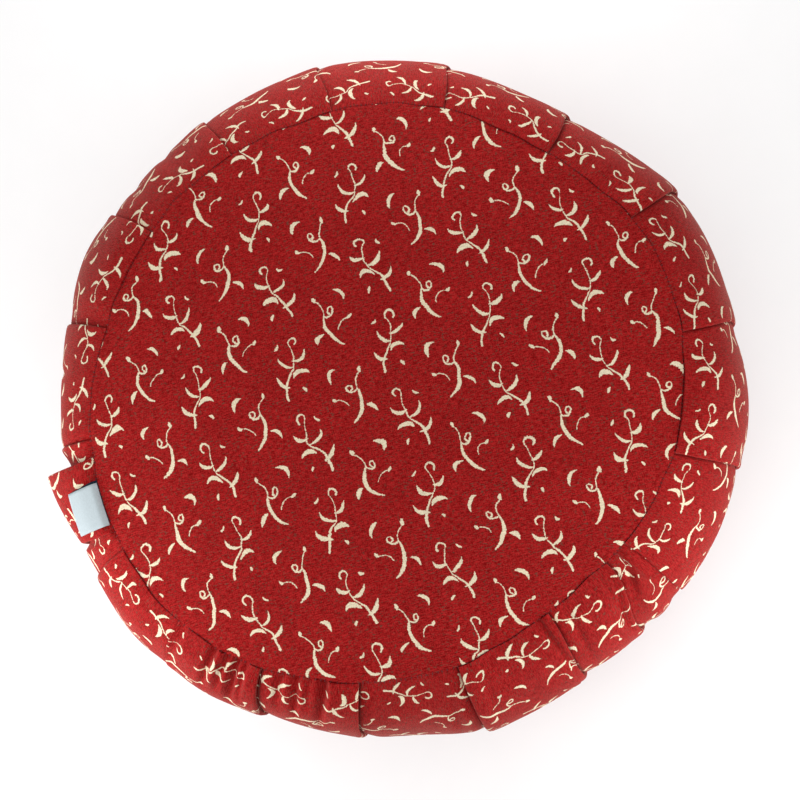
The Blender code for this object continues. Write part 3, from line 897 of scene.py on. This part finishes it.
def one_stitch(thread_width):
    """One stitch that bridges a seam along X and dips into the cloth at both ends."""
    bpy.ops.object.select_all(action="DESELECT")
    bpy.ops.mesh.primitive_cylinder_add(
        vertices=8, radius=thread_width / 2, depth=STITCH_BRIDGE, rotation=(0.0, pi / 2, 0.0)
    )
    stitch = bpy.context.object
    bpy.ops.object.transform_apply(location=True, rotation=True, scale=True)
    bpy.ops.object.mode_set(mode="EDIT")
    for side in (1.0, -1.0):
        select_facing(stitch.data, Vector((side, 0.0, 0.0)))
        for out, up, narrowed in STITCH_ENDS:
            bpy.ops.mesh.extrude_region_move(
                TRANSFORM_OT_translate={"value": (side * out, 0.0, up)}
            )
            bpy.ops.transform.resize(value=(1.0, narrowed, narrowed))
    bpy.ops.object.mode_set(mode="OBJECT")
    return stitch


def seam_places(size, seam_radius, height, pitch):
    """The middle of each stitch of one seam, and the way out across it."""
    count = round(tau * seam_radius / pitch)
    number = np.arange(count)
    angle = (number + STITCH_STRAY * np.sin(1.7 * number)) * (tau / count)
    inner = place(size, seam_radius - 0.001, angle, height)
    middle = place(size, seam_radius - SEAM_GAP * 0.75, angle, height)
    outward = middle - inner
    return middle, outward / np.linalg.norm(outward, axis=1)[:, None]


def make_stitches(context):
    """All the stitches of both seams, copied from one."""
    size = context.scene.cover_sizes
    fittings = context.scene.fitting_sizes
    pattern = one_stitch(fittings.thread_width)
    corners = np.array([vertex.co for vertex in pattern.data.vertices])
    pattern_faces = sorted(tuple(face.vertices) for face in pattern.data.polygons)
    bpy.data.objects.remove(pattern, do_unlink=True)
    vertices = []
    faces = []
    top = (size.top_seam_radius, size.top_seam_height - SEAM_DEPTH + STITCH_LIFT, 1.0)
    bottom = (size.bottom_seam_radius, size.bottom_seam_height + SEAM_DEPTH - STITCH_LIFT, -1.0)
    for seam_radius, height, up in (top, bottom):
        upward = np.array((0.0, 0.0, up))
        middles, outwards = seam_places(size, seam_radius, height, fittings.stitch_pitch)
        for middle, outward in zip(middles, outwards):
            start = len(vertices) * len(corners)
            axes = np.stack([outward, np.cross(upward, outward), upward])
            vertices.append(middle + corners @ axes)
            faces += [[start + corner for corner in face] for face in pattern_faces]
    mesh = smooth_mesh("seam_stitches", np.concatenate(vertices), faces)
    return linked_object("seam_stitches", mesh)


# ---- Materials ---------------------------------------------------------------------------


def plug(tree, socket, value):
    """Links a socket to another node's output, or gives it a constant."""
    if isinstance(value, bpy.types.NodeSocket):
        tree.links.new(value, socket)
    else:
        socket.default_value = value


def set_inputs(tree, node, values):
    """Plugs a value into each of these inputs, which are given by name or by number."""
    for key, value in values.items():
        plug(tree, node.inputs[key], value)


def new_node(tree, kind, values=None, **settings):
    """A node of that kind, with its settings and with these values for its inputs."""
    node = tree.nodes.new(kind)
    for name, setting in settings.items():
        setattr(node, name, setting)
    set_inputs(tree, node, values or {})
    return node


def math(tree, operation, *values):
    """A Math node's result."""
    values = dict(enumerate(values))
    return new_node(tree, "ShaderNodeMath", values, operation=operation).outputs[0]


def vector(tree, operation, *values):
    """A Vector Math node's result."""
    values = dict(enumerate(values))
    node = new_node(tree, "ShaderNodeVectorMath", values, operation=operation)
    return node.outputs["Value" if operation == "DISTANCE" else "Vector"]


def scaled(tree, place_socket, scale):
    """A place scaled about the origin."""
    values = {0: place_socket, "Scale": scale}
    return new_node(tree, "ShaderNodeVectorMath", values, operation="SCALE").outputs["Vector"]


def turned(tree, place_socket, angle, back=False):
    """A place turned about Z."""
    values = {"Vector": place_socket, "Angle": angle}
    settings = {"rotation_type": "Z_AXIS", "invert": back}
    return new_node(tree, "ShaderNodeVectorRotate", values, **settings).outputs[0]


def noise(tree, place_socket, scale, detail=1.0, roughness=0.5):
    """A noise texture's value, from 0 to 1."""
    values = {"Vector": place_socket, "Scale": scale, "Detail": detail, "Roughness": roughness}
    return new_node(tree, "ShaderNodeTexNoise", values, noise_dimensions="2D").outputs["Fac"]


def ramp(tree, value, low, high, to_low=0.0, to_high=1.0):
    """A value taken from one range to another and held within it."""
    names = ("Value", "From Min", "From Max", "To Min", "To Max")
    values = dict(zip(names, (value, low, high, to_low, to_high)))
    return new_node(tree, "ShaderNodeMapRange", values, clamp=True).outputs[0]


def mix_colour(tree, share, first, second, blend="MIX"):
    """Two colours mixed."""
    values = {0: share, 6: first, 7: second}
    settings = {"data_type": "RGBA", "blend_type": blend}
    return new_node(tree, "ShaderNodeMix", values, **settings).outputs[2]


def mix_value(tree, share, first, second):
    """Two values mixed."""
    values = {0: share, 2: first, 3: second}
    return new_node(tree, "ShaderNodeMix", values, data_type="FLOAT").outputs[0]


def combined(tree, x, y):
    """A place from its two coordinates."""
    return new_node(tree, "ShaderNodeCombineXYZ", {0: x, 1: y}).outputs[0]


def separated(tree, place_socket):
    """The two coordinates of a place."""
    outputs = new_node(tree, "ShaderNodeSeparateXYZ", {0: place_socket}).outputs
    return outputs[0], outputs[1]


def grey(tree, value):
    """A grey of that value."""
    return new_node(tree, "ShaderNodeCombineColor", {0: value, 1: value, 2: value}).outputs[0]


def object_coordinates(tree):
    """A place on the object."""
    return new_node(tree, "ShaderNodeTexCoord").outputs["Object"]


def new_material(name):
    """A material, its node tree and its Principled shader."""
    material = bpy.data.materials.new(name)
    material.use_nodes = True
    tree = material.node_tree
    return material, tree, tree.nodes["Principled BSDF"]


def new_group(name, inputs, outputs):
    """A shader node group with these sockets, and its input and output nodes."""
    tree = bpy.data.node_groups.new(name, "ShaderNodeTree")
    for label, kind in inputs:
        tree.interface.new_socket(label, in_out="INPUT", socket_type=kind)
    for label, kind in outputs:
        tree.interface.new_socket(label, in_out="OUTPUT", socket_type=kind)
    given = tree.nodes.new("NodeGroupInput").outputs
    result = tree.nodes.new("NodeGroupOutput").inputs
    return tree, given, result


def placed_group(tree, group, **values):
    """A group placed in a tree, with its inputs; underscores stand for spaces."""
    values = {name.replace("_", " "): value for name, value in values.items()}
    return new_node(tree, "ShaderNodeGroup", node_tree=group, values=values).outputs


def brush_stroke_group():
    """How far a place is from a brush stroke along an arc, in millimetres: negative inside."""
    floats = ("Facing", "Half Sweep", "Radius", "Width", "Widening", "Belly")
    inputs = [("Place", "NodeSocketVector"), ("Centre", "NodeSocketVector")]
    inputs += [(name, "NodeSocketFloat") for name in floats]
    tree, given, result = new_group("Brush Stroke", inputs, [("Distance", "NodeSocketFloat")])
    from_centre = vector(tree, "SUBTRACT", given["Place"], given["Centre"])
    facing = turned(tree, from_centre, given["Facing"], back=True)
    x, y = separated(tree, facing)
    angle = math(tree, "ARCTAN2", y, x)
    angle = math(tree, "MINIMUM", angle, given["Half Sweep"])
    angle = math(tree, "MAXIMUM", angle, math(tree, "MULTIPLY", given["Half Sweep"], -1.0))
    on_circle = combined(tree, math(tree, "COSINE", angle), math(tree, "SINE", angle))
    nearest = scaled(tree, on_circle, given["Radius"])
    away = vector(tree, "DISTANCE", facing, nearest)
    share = math(tree, "DIVIDE", angle, given["Half Sweep"])
    width = math(tree, "MULTIPLY_ADD", share, given["Widening"], given["Width"])
    from_ends = math(tree, "SUBTRACT", 1.0, math(tree, "MULTIPLY", share, share))
    width = math(tree, "MULTIPLY_ADD", from_ends, given["Belly"], width)
    plug(tree, result["Distance"], math(tree, "MULTIPLY_ADD", width, -0.5, away))
    return tree


# A brush stroke from `start` to `end`, in millimetres from the sprig's middle. Its middle is
# `bend` to the left of the straight line, and it is `belly` wider there.
Stroke = namedtuple("Stroke", "start end bend start_width end_width belly")
TWIG = (
    Stroke((-3.0, -15.0), (0.5, -1.0), 1.6, 1.2, 0.6, 0.2),
    Stroke((0.5, -1.0), (-2.0, 12.5), -1.7, 0.6, 0.4, 0.0),
    Stroke((-1.4, -9.0), (-9.0, -4.6), 1.5, 0.4, 0.3, 1.6),
    Stroke((0.2, -5.0), (7.6, -2.6), 2.2, 0.4, 0.4, 1.8),
    Stroke((0.7, 0.5), (-6.8, 5.0), 1.9, 0.4, 0.3, 1.4),
    Stroke((0.6, 4.4), (6.4, 9.0), -1.5, 0.4, 0.3, 1.5),
    Stroke((-2.0, 12.5), (1.8, 12.2), 3.2, 0.5, 0.9, 0.3),
    Stroke((5.2, -9.8), (6.4, -11.4), 0.2, 0.9, 0.6, 0.6),
    Stroke((-8.8, 9.4), (-7.4, 11.6), -0.4, 0.8, 0.5, 0.5),
)
TENDRIL = (
    Stroke((-5.0, -14.0), (3.6, 1.2), -3.4, 0.6, 0.6, 1.2),
    Stroke((3.6, 1.2), (-0.6, 4.6), 2.6, 0.6, 0.6, 0.4),
    Stroke((-0.6, 4.6), (0.4, 1.6), 1.5, 0.6, 0.9, 0.0),
    Stroke((3.9, -1.8), (8.6, 8.2), 2.0, 0.4, 0.5, 0.1),
    Stroke((8.6, 8.2), (9.0, 9.8), 0.1, 1.1, 1.3, 0.6),
    Stroke((-3.0, -6.4), (-8.4, -1.0), -1.6, 0.4, 0.4, 0.1),
    Stroke((-8.4, -1.0), (-9.4, 0.4), 0.1, 1.3, 1.0, 0.5),
    Stroke((-7.4, 8.6), (-2.0, 13.4), 1.9, 0.4, 0.3, 1.7),
    Stroke((4.8, -8.4), (8.2, -13.6), 1.2, 0.3, 0.4, 1.6),
)
TWIG_TILT = radians(12)
TENDRIL_TILT = radians(-10)
PRINT_STRAY = 1.6  # how far the sprigs stray from their even places, in millimetres
PRINT_STRAY_SCALE = 0.09  # of that straying's noise, per millimetre
PRINT_RAGGED = 0.24  # how ragged a stroke's edge is, in millimetres
PRINT_RAGGED_SCALE = 1.1


def stroke_distance(tree, group, place_socket, stroke):
    """The distance from a stroke, drawn on the arc through its ends and its bent middle."""
    start, end = Vector(stroke.start), Vector(stroke.end)
    along = (end - start).normalized()
    left = Vector((-along.y, along.x))
    chord = (end - start).length
    side = copysign(1.0, stroke.bend)
    bend = abs(stroke.bend)
    radius = (chord**2 / 4 + bend**2) / (2 * bend)
    outward = left * side
    centre = (start + end) / 2 + outward * (bend - radius)
    half_sweep = 2 * atan2(2 * bend, chord)
    widening = (stroke.end_width - stroke.start_width) / 2 * -side
    return placed_group(
        tree,
        group,
        Place=place_socket,
        Centre=(centre.x, centre.y, 0.0),
        Facing=atan2(outward.y, outward.x),
        Half_Sweep=half_sweep,
        Radius=radius,
        Width=(stroke.start_width + stroke.end_width) / 2,
        Widening=widening,
        Belly=stroke.belly,
    )["Distance"]


def nearest_stroke(tree, group, place_socket, strokes):
    """The distance from the nearest of a sprig's strokes."""
    distance = stroke_distance(tree, group, place_socket, strokes[0])
    for stroke in strokes[1:]:
        beside = stroke_distance(tree, group, place_socket, stroke)
        distance = math(tree, "MINIMUM", distance, beside)
    return distance


def strayed(tree, in_mm):
    """The coordinates of a place, shifted a little here and there, as printed cloth stretches."""
    stray = (0.0, 1.0, -PRINT_STRAY, PRINT_STRAY)
    stray_x = ramp(tree, noise(tree, in_mm, PRINT_STRAY_SCALE), *stray)
    elsewhere = vector(tree, "ADD", in_mm, (517.0, 233.0, 0.0))
    stray_y = ramp(tree, noise(tree, elsewhere, PRINT_STRAY_SCALE), *stray)
    return separated(tree, vector(tree, "ADD", in_mm, combined(tree, stray_x, stray_y)))


def half_drop(tree, x, y, column_pitch, repeat):
    """The place from the middle of its own sprig, and 1 in every other column.

    Every other column is half a repeat lower, and every other row is mirrored.
    """
    column = math(tree, "FLOOR", math(tree, "DIVIDE", x, column_pitch))
    odd = math(tree, "FLOORED_MODULO", column, 2.0)
    half_column = math(tree, "MULTIPLY_ADD", column, -column_pitch, -column_pitch / 2)
    x = math(tree, "ADD", x, half_column)
    y = math(tree, "MULTIPLY_ADD", odd, repeat / 2, y)
    row = math(tree, "FLOOR", math(tree, "DIVIDE", y, repeat))
    half_row = math(tree, "MULTIPLY_ADD", row, -repeat, -repeat / 2)
    y = math(tree, "ADD", y, half_row)
    mirror = math(tree, "MULTIPLY_ADD", math(tree, "FLOORED_MODULO", row, 2.0), -2.0, 1.0)
    x = math(tree, "MULTIPLY", x, mirror)
    tilt = mix_value(tree, odd, TWIG_TILT, TENDRIL_TILT)
    return turned(tree, combined(tree, x, y), tilt), odd


def sprig_print_group(look):
    """Printed sprigs in a half-drop repeat: a column of twigs, then one of tendrils."""
    strokes = brush_stroke_group()
    tree, given, result = new_group(
        "Sprig Print", [("Cloth", "NodeSocketVector")], [("Print", "NodeSocketFloat")]
    )
    in_mm = scaled(tree, given["Cloth"], 1000.0)
    x, y = strayed(tree, in_mm)
    in_sprig, odd = half_drop(tree, x, y, look.column_pitch * 1000, look.repeat * 1000)
    twig = nearest_stroke(tree, strokes, in_sprig, TWIG)
    tendril = nearest_stroke(tree, strokes, in_sprig, TENDRIL)
    distance = mix_value(tree, odd, twig, tendril)
    rough = noise(tree, in_mm, PRINT_RAGGED_SCALE, detail=2.0)
    edge = math(tree, "ADD", distance, ramp(tree, rough, 0.25, 0.75, -PRINT_RAGGED, PRINT_RAGGED))
    plug(tree, result["Print"], ramp(tree, edge, 0.10, -0.12))
    return tree


# The weave's noises are in threads. A slub is long and thin, so its noise is drawn out.
SLUB_SCALE = 1.1
WARP_SLUB = 0.20  # how fast it changes along a thread of the warp, as a share of across it
WEFT_SLUB = 0.15  # the same for the weft
WEFT_SHARE = 0.60  # of the weft's slubs in all slubs
KNOT_SHARE = 0.42  # of the knots in the threads' shade
FLECK_STRETCH = (0.22, 0.48)  # how fast the flecks' noise changes, across and along the warp
FLECK_SCALE = 1.4
FLECK_FROM, FLECK_TO = 0.56, 0.68  # the noise at which a fleck begins and is full


def woven_relief(tree, u, v):
    """The height of the threads, which go over and under each other in turn."""
    u_wave = math(tree, "SINE", math(tree, "MULTIPLY", u, pi))
    v_wave = math(tree, "SINE", math(tree, "MULTIPLY", v, pi))
    over = ramp(tree, math(tree, "MULTIPLY", u_wave, v_wave), -0.3, 0.3)
    u_round = math(tree, "ABSOLUTE", u_wave)
    v_round = math(tree, "ABSOLUTE", v_wave)
    return mix_value(tree, over, u_round, v_round)


def plain_weave_group():
    """Threads over and under each other: their relief, their shades, and flecks in the yarn."""
    tree, given, result = new_group(
        "Plain Weave",
        [("Cloth", "NodeSocketVector"), ("Thread Pitch", "NodeSocketFloat")],
        [
            ("Relief", "NodeSocketFloat"),
            ("Thread Shade", "NodeSocketFloat"),
            ("Fleck", "NodeSocketFloat"),
        ],
    )
    per_metre = math(tree, "DIVIDE", 1.0, given["Thread Pitch"])
    threads = scaled(tree, given["Cloth"], per_metre)
    u, v = separated(tree, threads)
    relief = woven_relief(tree, u, v)
    warp = noise(tree, combined(tree, u, math(tree, "MULTIPLY", v, WARP_SLUB)), SLUB_SCALE)
    weft = noise(tree, combined(tree, math(tree, "MULTIPLY", u, WEFT_SLUB), v), SLUB_SCALE)
    knots = noise(tree, threads, SLUB_SCALE, detail=2.0, roughness=0.7)
    slubs = mix_value(tree, WEFT_SHARE, warp, weft)
    shade = mix_value(tree, KNOT_SHARE, slubs, knots)
    fleck_u = math(tree, "MULTIPLY", u, FLECK_STRETCH[0])
    fleck_v = math(tree, "MULTIPLY", v, FLECK_STRETCH[1])
    flecks = noise(tree, combined(tree, fleck_u, fleck_v), FLECK_SCALE, detail=3.0)
    fleck = ramp(tree, flecks, FLECK_FROM, FLECK_TO)

    plug(tree, result["Relief"], math(tree, "MULTIPLY_ADD", shade, 1.2, relief))
    plug(tree, result["Thread Shade"], ramp(tree, shade, 0.40, 0.60))
    plug(tree, result["Fleck"], fleck)
    return tree


def cloth_shader(name, sheen):
    """A new cloth's node tree, its Principled shader, and where its own map is read."""
    _, tree, shader = new_material(name)
    values = {"Specular IOR Level": 0.08, "Sheen Weight": sheen, "Sheen Roughness": 0.30}
    set_inputs(tree, shader, values)
    cloth = new_node(tree, "ShaderNodeUVMap", uv_map=UV_NAME).outputs[0]
    return tree, shader, cloth


def scaled_colour(colour, red, green, blue):
    """A colour with each of its parts changed by its own factor, up to full."""
    factors = (red, green, blue)
    return tuple(min(1.0, part * factor) for part, factor in zip(colour, factors)) + (1.0,)


def set_bump(tree, shader, height, strength, distance):
    """Gives a shader the relief of a height."""
    values = {"Strength": strength, "Distance": distance, "Height": height}
    bump = new_node(tree, "ShaderNodeBump", values)
    plug(tree, shader.inputs["Normal"], bump.outputs[0])


def dyed_threads_with_painted_light(tree, look, cloth, woven):
    """The red threads' colour with patches, flecks and painted glints, and painted shade in the
    gaps of the weave.
    """
    # The lighter, pinker threads are partly slub tone and partly painted glints on the threads;
    # the darker ones are partly slub tone and partly painted shade between them.
    darker = scaled_colour(look.red, 0.62, 0.20, 0.30)
    lighter = scaled_colour(look.red, 1.38, 8.0, 7.0)
    threads = mix_colour(tree, woven["Thread Shade"], darker, lighter)
    patches = scaled(tree, cloth, 45.0)
    patchy = ramp(tree, noise(tree, patches, 1.0, detail=2.0), 0.3, 0.7, 0.95, 1.05)
    dusty = ramp(tree, noise(tree, patches, 2.3, detail=2.0), 0.40, 0.62, 0.35, 0.85)
    flecked = math(tree, "MULTIPLY", woven["Fleck"], dusty)
    threads = mix_colour(tree, flecked, threads, tuple(look.fleck))
    # Painted shade: the weave's low places are darkened and its high places lightened, as light
    # falls on the threads.
    painted_weave_shade = ramp(tree, woven["Relief"], 0.5, 1.5, 0.72, 1.12)
    # Random patches of tone, times the painted shade of the weave.
    patches_and_painted_shade = grey(tree, math(tree, "MULTIPLY", patchy, painted_weave_shade))
    return mix_colour(tree, 1.0, threads, patches_and_painted_shade, blend="MULTIPLY"), painted_weave_shade


def printed_linen(look, weave, sprigs):
    """Red linen with slubs and flecks, and cream sprigs printed on its threads."""
    tree, shader, cloth = cloth_shader("printed_linen", sheen=0.24)
    shader.inputs["Sheen Tint"].default_value = (1.0, 0.62, 0.52, 1.0)
    woven = placed_group(tree, weave, Cloth=cloth, Thread_Pitch=look.thread_pitch)
    printed = placed_group(tree, sprigs, Cloth=cloth)["Print"]
    threads, painted_weave_shade = dyed_threads_with_painted_light(tree, look, cloth, woven)
    dull_cream = scaled_colour(look.cream, 0.80, 0.80, 0.80)
    ink = mix_colour(tree, woven["Thread Shade"], dull_cream, tuple(look.cream))
    # The print gets the same painted shade of the weave.
    ink = mix_colour(tree, 1.0, ink, grey(tree, painted_weave_shade), blend="MULTIPLY")
    base = mix_colour(tree, printed, threads, ink)
    roughness = mix_value(tree, printed, 0.88, 0.78)
    set_inputs(tree, shader, {"Base Color": base, "Roughness": roughness})
    set_bump(tree, shader, woven["Relief"], strength=0.55, distance=0.00016)


def label_satin(name, colour, weave):
    """A label's close satin ribbon."""
    tree, shader, cloth = cloth_shader(name, sheen=0.1)
    woven = placed_group(tree, weave, Cloth=cloth, Thread_Pitch=0.00024)
    darker = scaled_colour(colour, 0.86, 0.86, 0.86)
    threads = mix_colour(tree, woven["Thread Shade"], darker, tuple(colour))
    roughness = ramp(tree, woven["Thread Shade"], 0.0, 1.0, 0.42, 0.60)
    set_inputs(tree, shader, {"Base Color": threads, "Roughness": roughness})
    set_bump(tree, shader, woven["Relief"], strength=0.4, distance=0.00006)


def sewing_thread(colour):
    """Twisted thread, sunk between the cloths; its dark colour is partly painted shade of the
    seam's pull.
    """
    _, tree, shader = new_material("sewing_thread")
    fibres = noise(tree, object_coordinates(tree), 2600.0, detail=2.0)
    lighter = scaled_colour(colour, 1.8, 1.8, 1.8)
    threads = mix_colour(tree, fibres, tuple(colour), lighter)
    roughness = ramp(tree, fibres, 0.3, 0.7, 0.70, 0.90)
    set_inputs(tree, shader, {"Base Color": threads, "Roughness": roughness})
    set_bump(tree, shader, fibres, strength=0.5, distance=0.00008)


def make_materials(context):
    """All the cloths, each once."""
    weave = plain_weave_group()
    sprigs = sprig_print_group(context.scene.linen_look)
    fittings = context.scene.fitting_sizes
    printed_linen(context.scene.linen_look, weave, sprigs)
    label_satin("label_white", fittings.label_white, weave)
    label_satin("label_navy", fittings.label_navy, weave)
    sewing_thread(fittings.thread_colour_and_painted_shade)


# ---- Studio ------------------------------------------------------------------------------

IMAGE_RIGHT = radians(71.5)  # the model's direction that points right in the picture
CAMERA_TOWARDS = radians(-36.0)  # the picture's direction in which the camera leans
AIM = Vector((0.0, 0.0, 0.07))
AIM_ASIDE = 0.0026  # the cushion lies this far left of the picture's middle

# Softboxes, by their direction in the picture. Power is in watts.
Softbox = namedtuple("Softbox", "toward_deg up_deg distance width power")
SOFTBOXES = (
    Softbox(210.0, 6.0, 0.38, 0.15, 0.50),
    Softbox(222.0, 18.0, 0.38, 0.15, 0.28),
    Softbox(321.0, 6.0, 0.38, 0.15, 0.32),
    Softbox(334.0, 8.0, 0.38, 0.15, 0.23),
    Softbox(92.0, 6.0, 0.38, 0.15, 0.47),
)


def picture_direction(angle):
    """The model's direction for one in the picture, flat on the floor."""
    return Vector((cos(IMAGE_RIGHT + angle), sin(IMAGE_RIGHT + angle), 0.0))


def make_camera(studio):
    """The camera, at the height and angle of the photograph."""
    data = bpy.data.cameras.new("camera")
    data.lens = studio.lens
    camera = linked_object("camera", data)
    towards = picture_direction(CAMERA_TOWARDS)
    back = towards * sin(studio.camera_tilt) + Vector((0, 0, cos(studio.camera_tilt)))
    camera.location = AIM + back * studio.camera_distance
    look = AIM + picture_direction(0.0) * AIM_ASIDE - camera.location
    up = picture_direction(pi / 2)
    right = look.cross(up).normalized()
    above = right.cross(look).normalized()
    camera.rotation_mode = "QUATERNION"
    axes = Matrix((right, above, -look.normalized())).transposed()
    camera.rotation_quaternion = axes.to_quaternion()
    bpy.context.scene.camera = camera


def make_light(box):
    """One softbox, aimed at the cushion."""
    data = bpy.data.lights.new("softbox", "AREA")
    data.size = box.width
    data.energy = box.power
    lamp = linked_object("softbox", data)
    up = radians(box.up_deg)
    towards = picture_direction(radians(box.toward_deg))
    lamp.location = AIM + (towards * cos(up) + Vector((0, 0, sin(up)))) * box.distance
    lamp.rotation_mode = "QUATERNION"
    lamp.rotation_quaternion = (lamp.location - AIM).to_track_quat("Z", "Y")


def make_floor(studio):
    """A plain pale floor that shines a little itself, as a light table does."""
    bpy.ops.object.select_all(action="DESELECT")
    bpy.ops.mesh.primitive_plane_add(size=studio.floor_size, location=(0, 0, 0))
    floor = bpy.context.object
    floor.name = "studio_floor"
    material, tree, shader = new_material("studio_floor")
    paper = noise(tree, object_coordinates(tree), 40.0, detail=2.0)
    white = mix_colour(tree, paper, (0.54, 0.54, 0.54, 1.0), (0.56, 0.56, 0.56, 1.0))
    values = {
        "Base Color": white,
        "Roughness": 0.9,
        "Specular IOR Level": 0.1,
        "Emission Color": (1.0, 1.0, 1.0, 1.0),
        "Emission Strength": studio.floor_light,
    }
    set_inputs(tree, shader, values)
    floor.data.materials.append(material)


def make_world(studio):
    """A light tent that shines from overhead, and is dim near the floor."""
    world = bpy.data.worlds.new("light_tent")
    world.use_nodes = True
    tree = world.node_tree
    direction = new_node(tree, "ShaderNodeTexCoord").outputs["Generated"]
    upward = new_node(tree, "ShaderNodeSeparateXYZ", {0: direction}).outputs[2]
    strength = ramp(tree, upward, 0.10, 0.60, studio.side_light, studio.top_light)
    white = (1.0, 1.0, 1.0, 1.0)
    set_inputs(tree, tree.nodes["Background"], {"Color": white, "Strength": strength})
    bpy.context.scene.world = world


# ---- Operators ---------------------------------------------------------------------------


def finish_piece(piece, material_names, node):
    """Gives a piece its materials and its body, and hides the packed model's node that it
    replaces.
    """
    for name in material_names:
        piece.data.materials.append(bpy.data.materials[name])
    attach(piece, "root")
    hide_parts(node)


class CUSHION_OT_materials(Operator):
    """Make the printed linen and the label's satin"""

    bl_idname = "cushion.make_materials"
    bl_label = "Make Materials"

    def execute(self, context):
        make_materials(context)
        return {"FINISHED"}


class CUSHION_OT_band(Operator):
    """Make the pleated side band with its filling"""

    bl_idname = "cushion.make_band"
    bl_label = "Make Pleated Band"

    def execute(self, context):
        band = make_band(context)
        finish_piece(band, ("printed_linen",), "side_band")
        return {"FINISHED"}


class CUSHION_OT_panels(Operator):
    """Make the round panels above and below"""

    bl_idname = "cushion.make_panels"
    bl_label = "Make Round Panels"

    def execute(self, context):
        size = context.scene.cover_sizes
        for name, node, seam_radius, height_of, faces_up in (
            ("top_panel_cloth", "top_panel", size.top_seam_radius, top_height, True),
            ("bottom_panel_cloth", "bottom_panel", size.bottom_seam_radius, bottom_height, False),
        ):
            panel = make_panel(context, name, seam_radius, height_of, faces_up)
            finish_piece(panel, ("printed_linen",), node)
        return {"FINISHED"}


class CUSHION_OT_strap(Operator):
    """Make the carry strap"""

    bl_idname = "cushion.make_strap"
    bl_label = "Make Carry Strap"

    def execute(self, context):
        strap, length = make_strap(context)
        finish_piece(strap, ("printed_linen",), "carry_strap")
        return {"FINISHED"}


class CUSHION_OT_label(Operator):
    """Make the folded label"""

    bl_idname = "cushion.make_label"
    bl_label = "Make Label"

    def execute(self, context):
        label, in_back, length = make_label(context)
        finish_piece(label, ("label_white", "label_navy"), "label")
        label.data.polygons.foreach_set("material_index", in_back)
        return {"FINISHED"}


class CUSHION_OT_stitches(Operator):
    """Make the stitches of both seams"""

    bl_idname = "cushion.make_stitches"
    bl_label = "Make Seam Stitches"

    def execute(self, context):
        stitches = make_stitches(context)
        stitches.data.materials.append(bpy.data.materials["sewing_thread"])
        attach(stitches, "root")
        return {"FINISHED"}


class CUSHION_OT_stage(Operator):
    """Set the floor, the light and the camera"""

    bl_idname = "cushion.set_stage"
    bl_label = "Set Stage"

    def execute(self, context):
        studio = context.scene.studio_settings
        make_floor(studio)
        make_world(studio)
        for box in SOFTBOXES:
            make_light(box)
        make_camera(studio)
        context.scene.view_settings.view_transform = "Standard"
        return {"FINISHED"}


class CUSHION_PT_sidebar(Panel):
    """Lists the cushion's settings and its operators"""

    bl_label = "Meditation Cushion"
    bl_idname = "CUSHION_PT_sidebar"
    bl_space_type = "VIEW_3D"
    bl_region_type = "UI"
    bl_category = "Cushion"

    def draw(self, context):
        for group, attribute in SETTINGS:
            box = self.layout.box()
            box.label(text=group.__doc__)
            for name in group.__annotations__:
                box.prop(getattr(context.scene, attribute), name)
        for operator in OPERATORS:
            self.layout.operator(operator.bl_idname)


SETTINGS = (
    (CoverSizes, "cover_sizes"),
    (LinenLook, "linen_look"),
    (FittingSizes, "fitting_sizes"),
    (StudioSettings, "studio_settings"),
)
OPERATORS = (
    CUSHION_OT_materials,
    CUSHION_OT_band,
    CUSHION_OT_panels,
    CUSHION_OT_strap,
    CUSHION_OT_label,
    CUSHION_OT_stitches,
    CUSHION_OT_stage,
)


def register():
    for group, attribute in SETTINGS:
        bpy.utils.register_class(group)
        setattr(bpy.types.Scene, attribute, PointerProperty(type=group))
    for operator in OPERATORS:
        bpy.utils.register_class(operator)
    bpy.utils.register_class(CUSHION_PT_sidebar)


def unregister():
    bpy.utils.unregister_class(CUSHION_PT_sidebar)
    for operator in reversed(OPERATORS):
        bpy.utils.unregister_class(operator)
    for group, attribute in reversed(SETTINGS):
        delattr(bpy.types.Scene, attribute)
        bpy.utils.unregister_class(group)


def main():
    register()
    for operator in OPERATORS:
        group, name = operator.bl_idname.split(".")
        getattr(getattr(bpy.ops, group), name)()


if __name__ == "__main__":
    main()
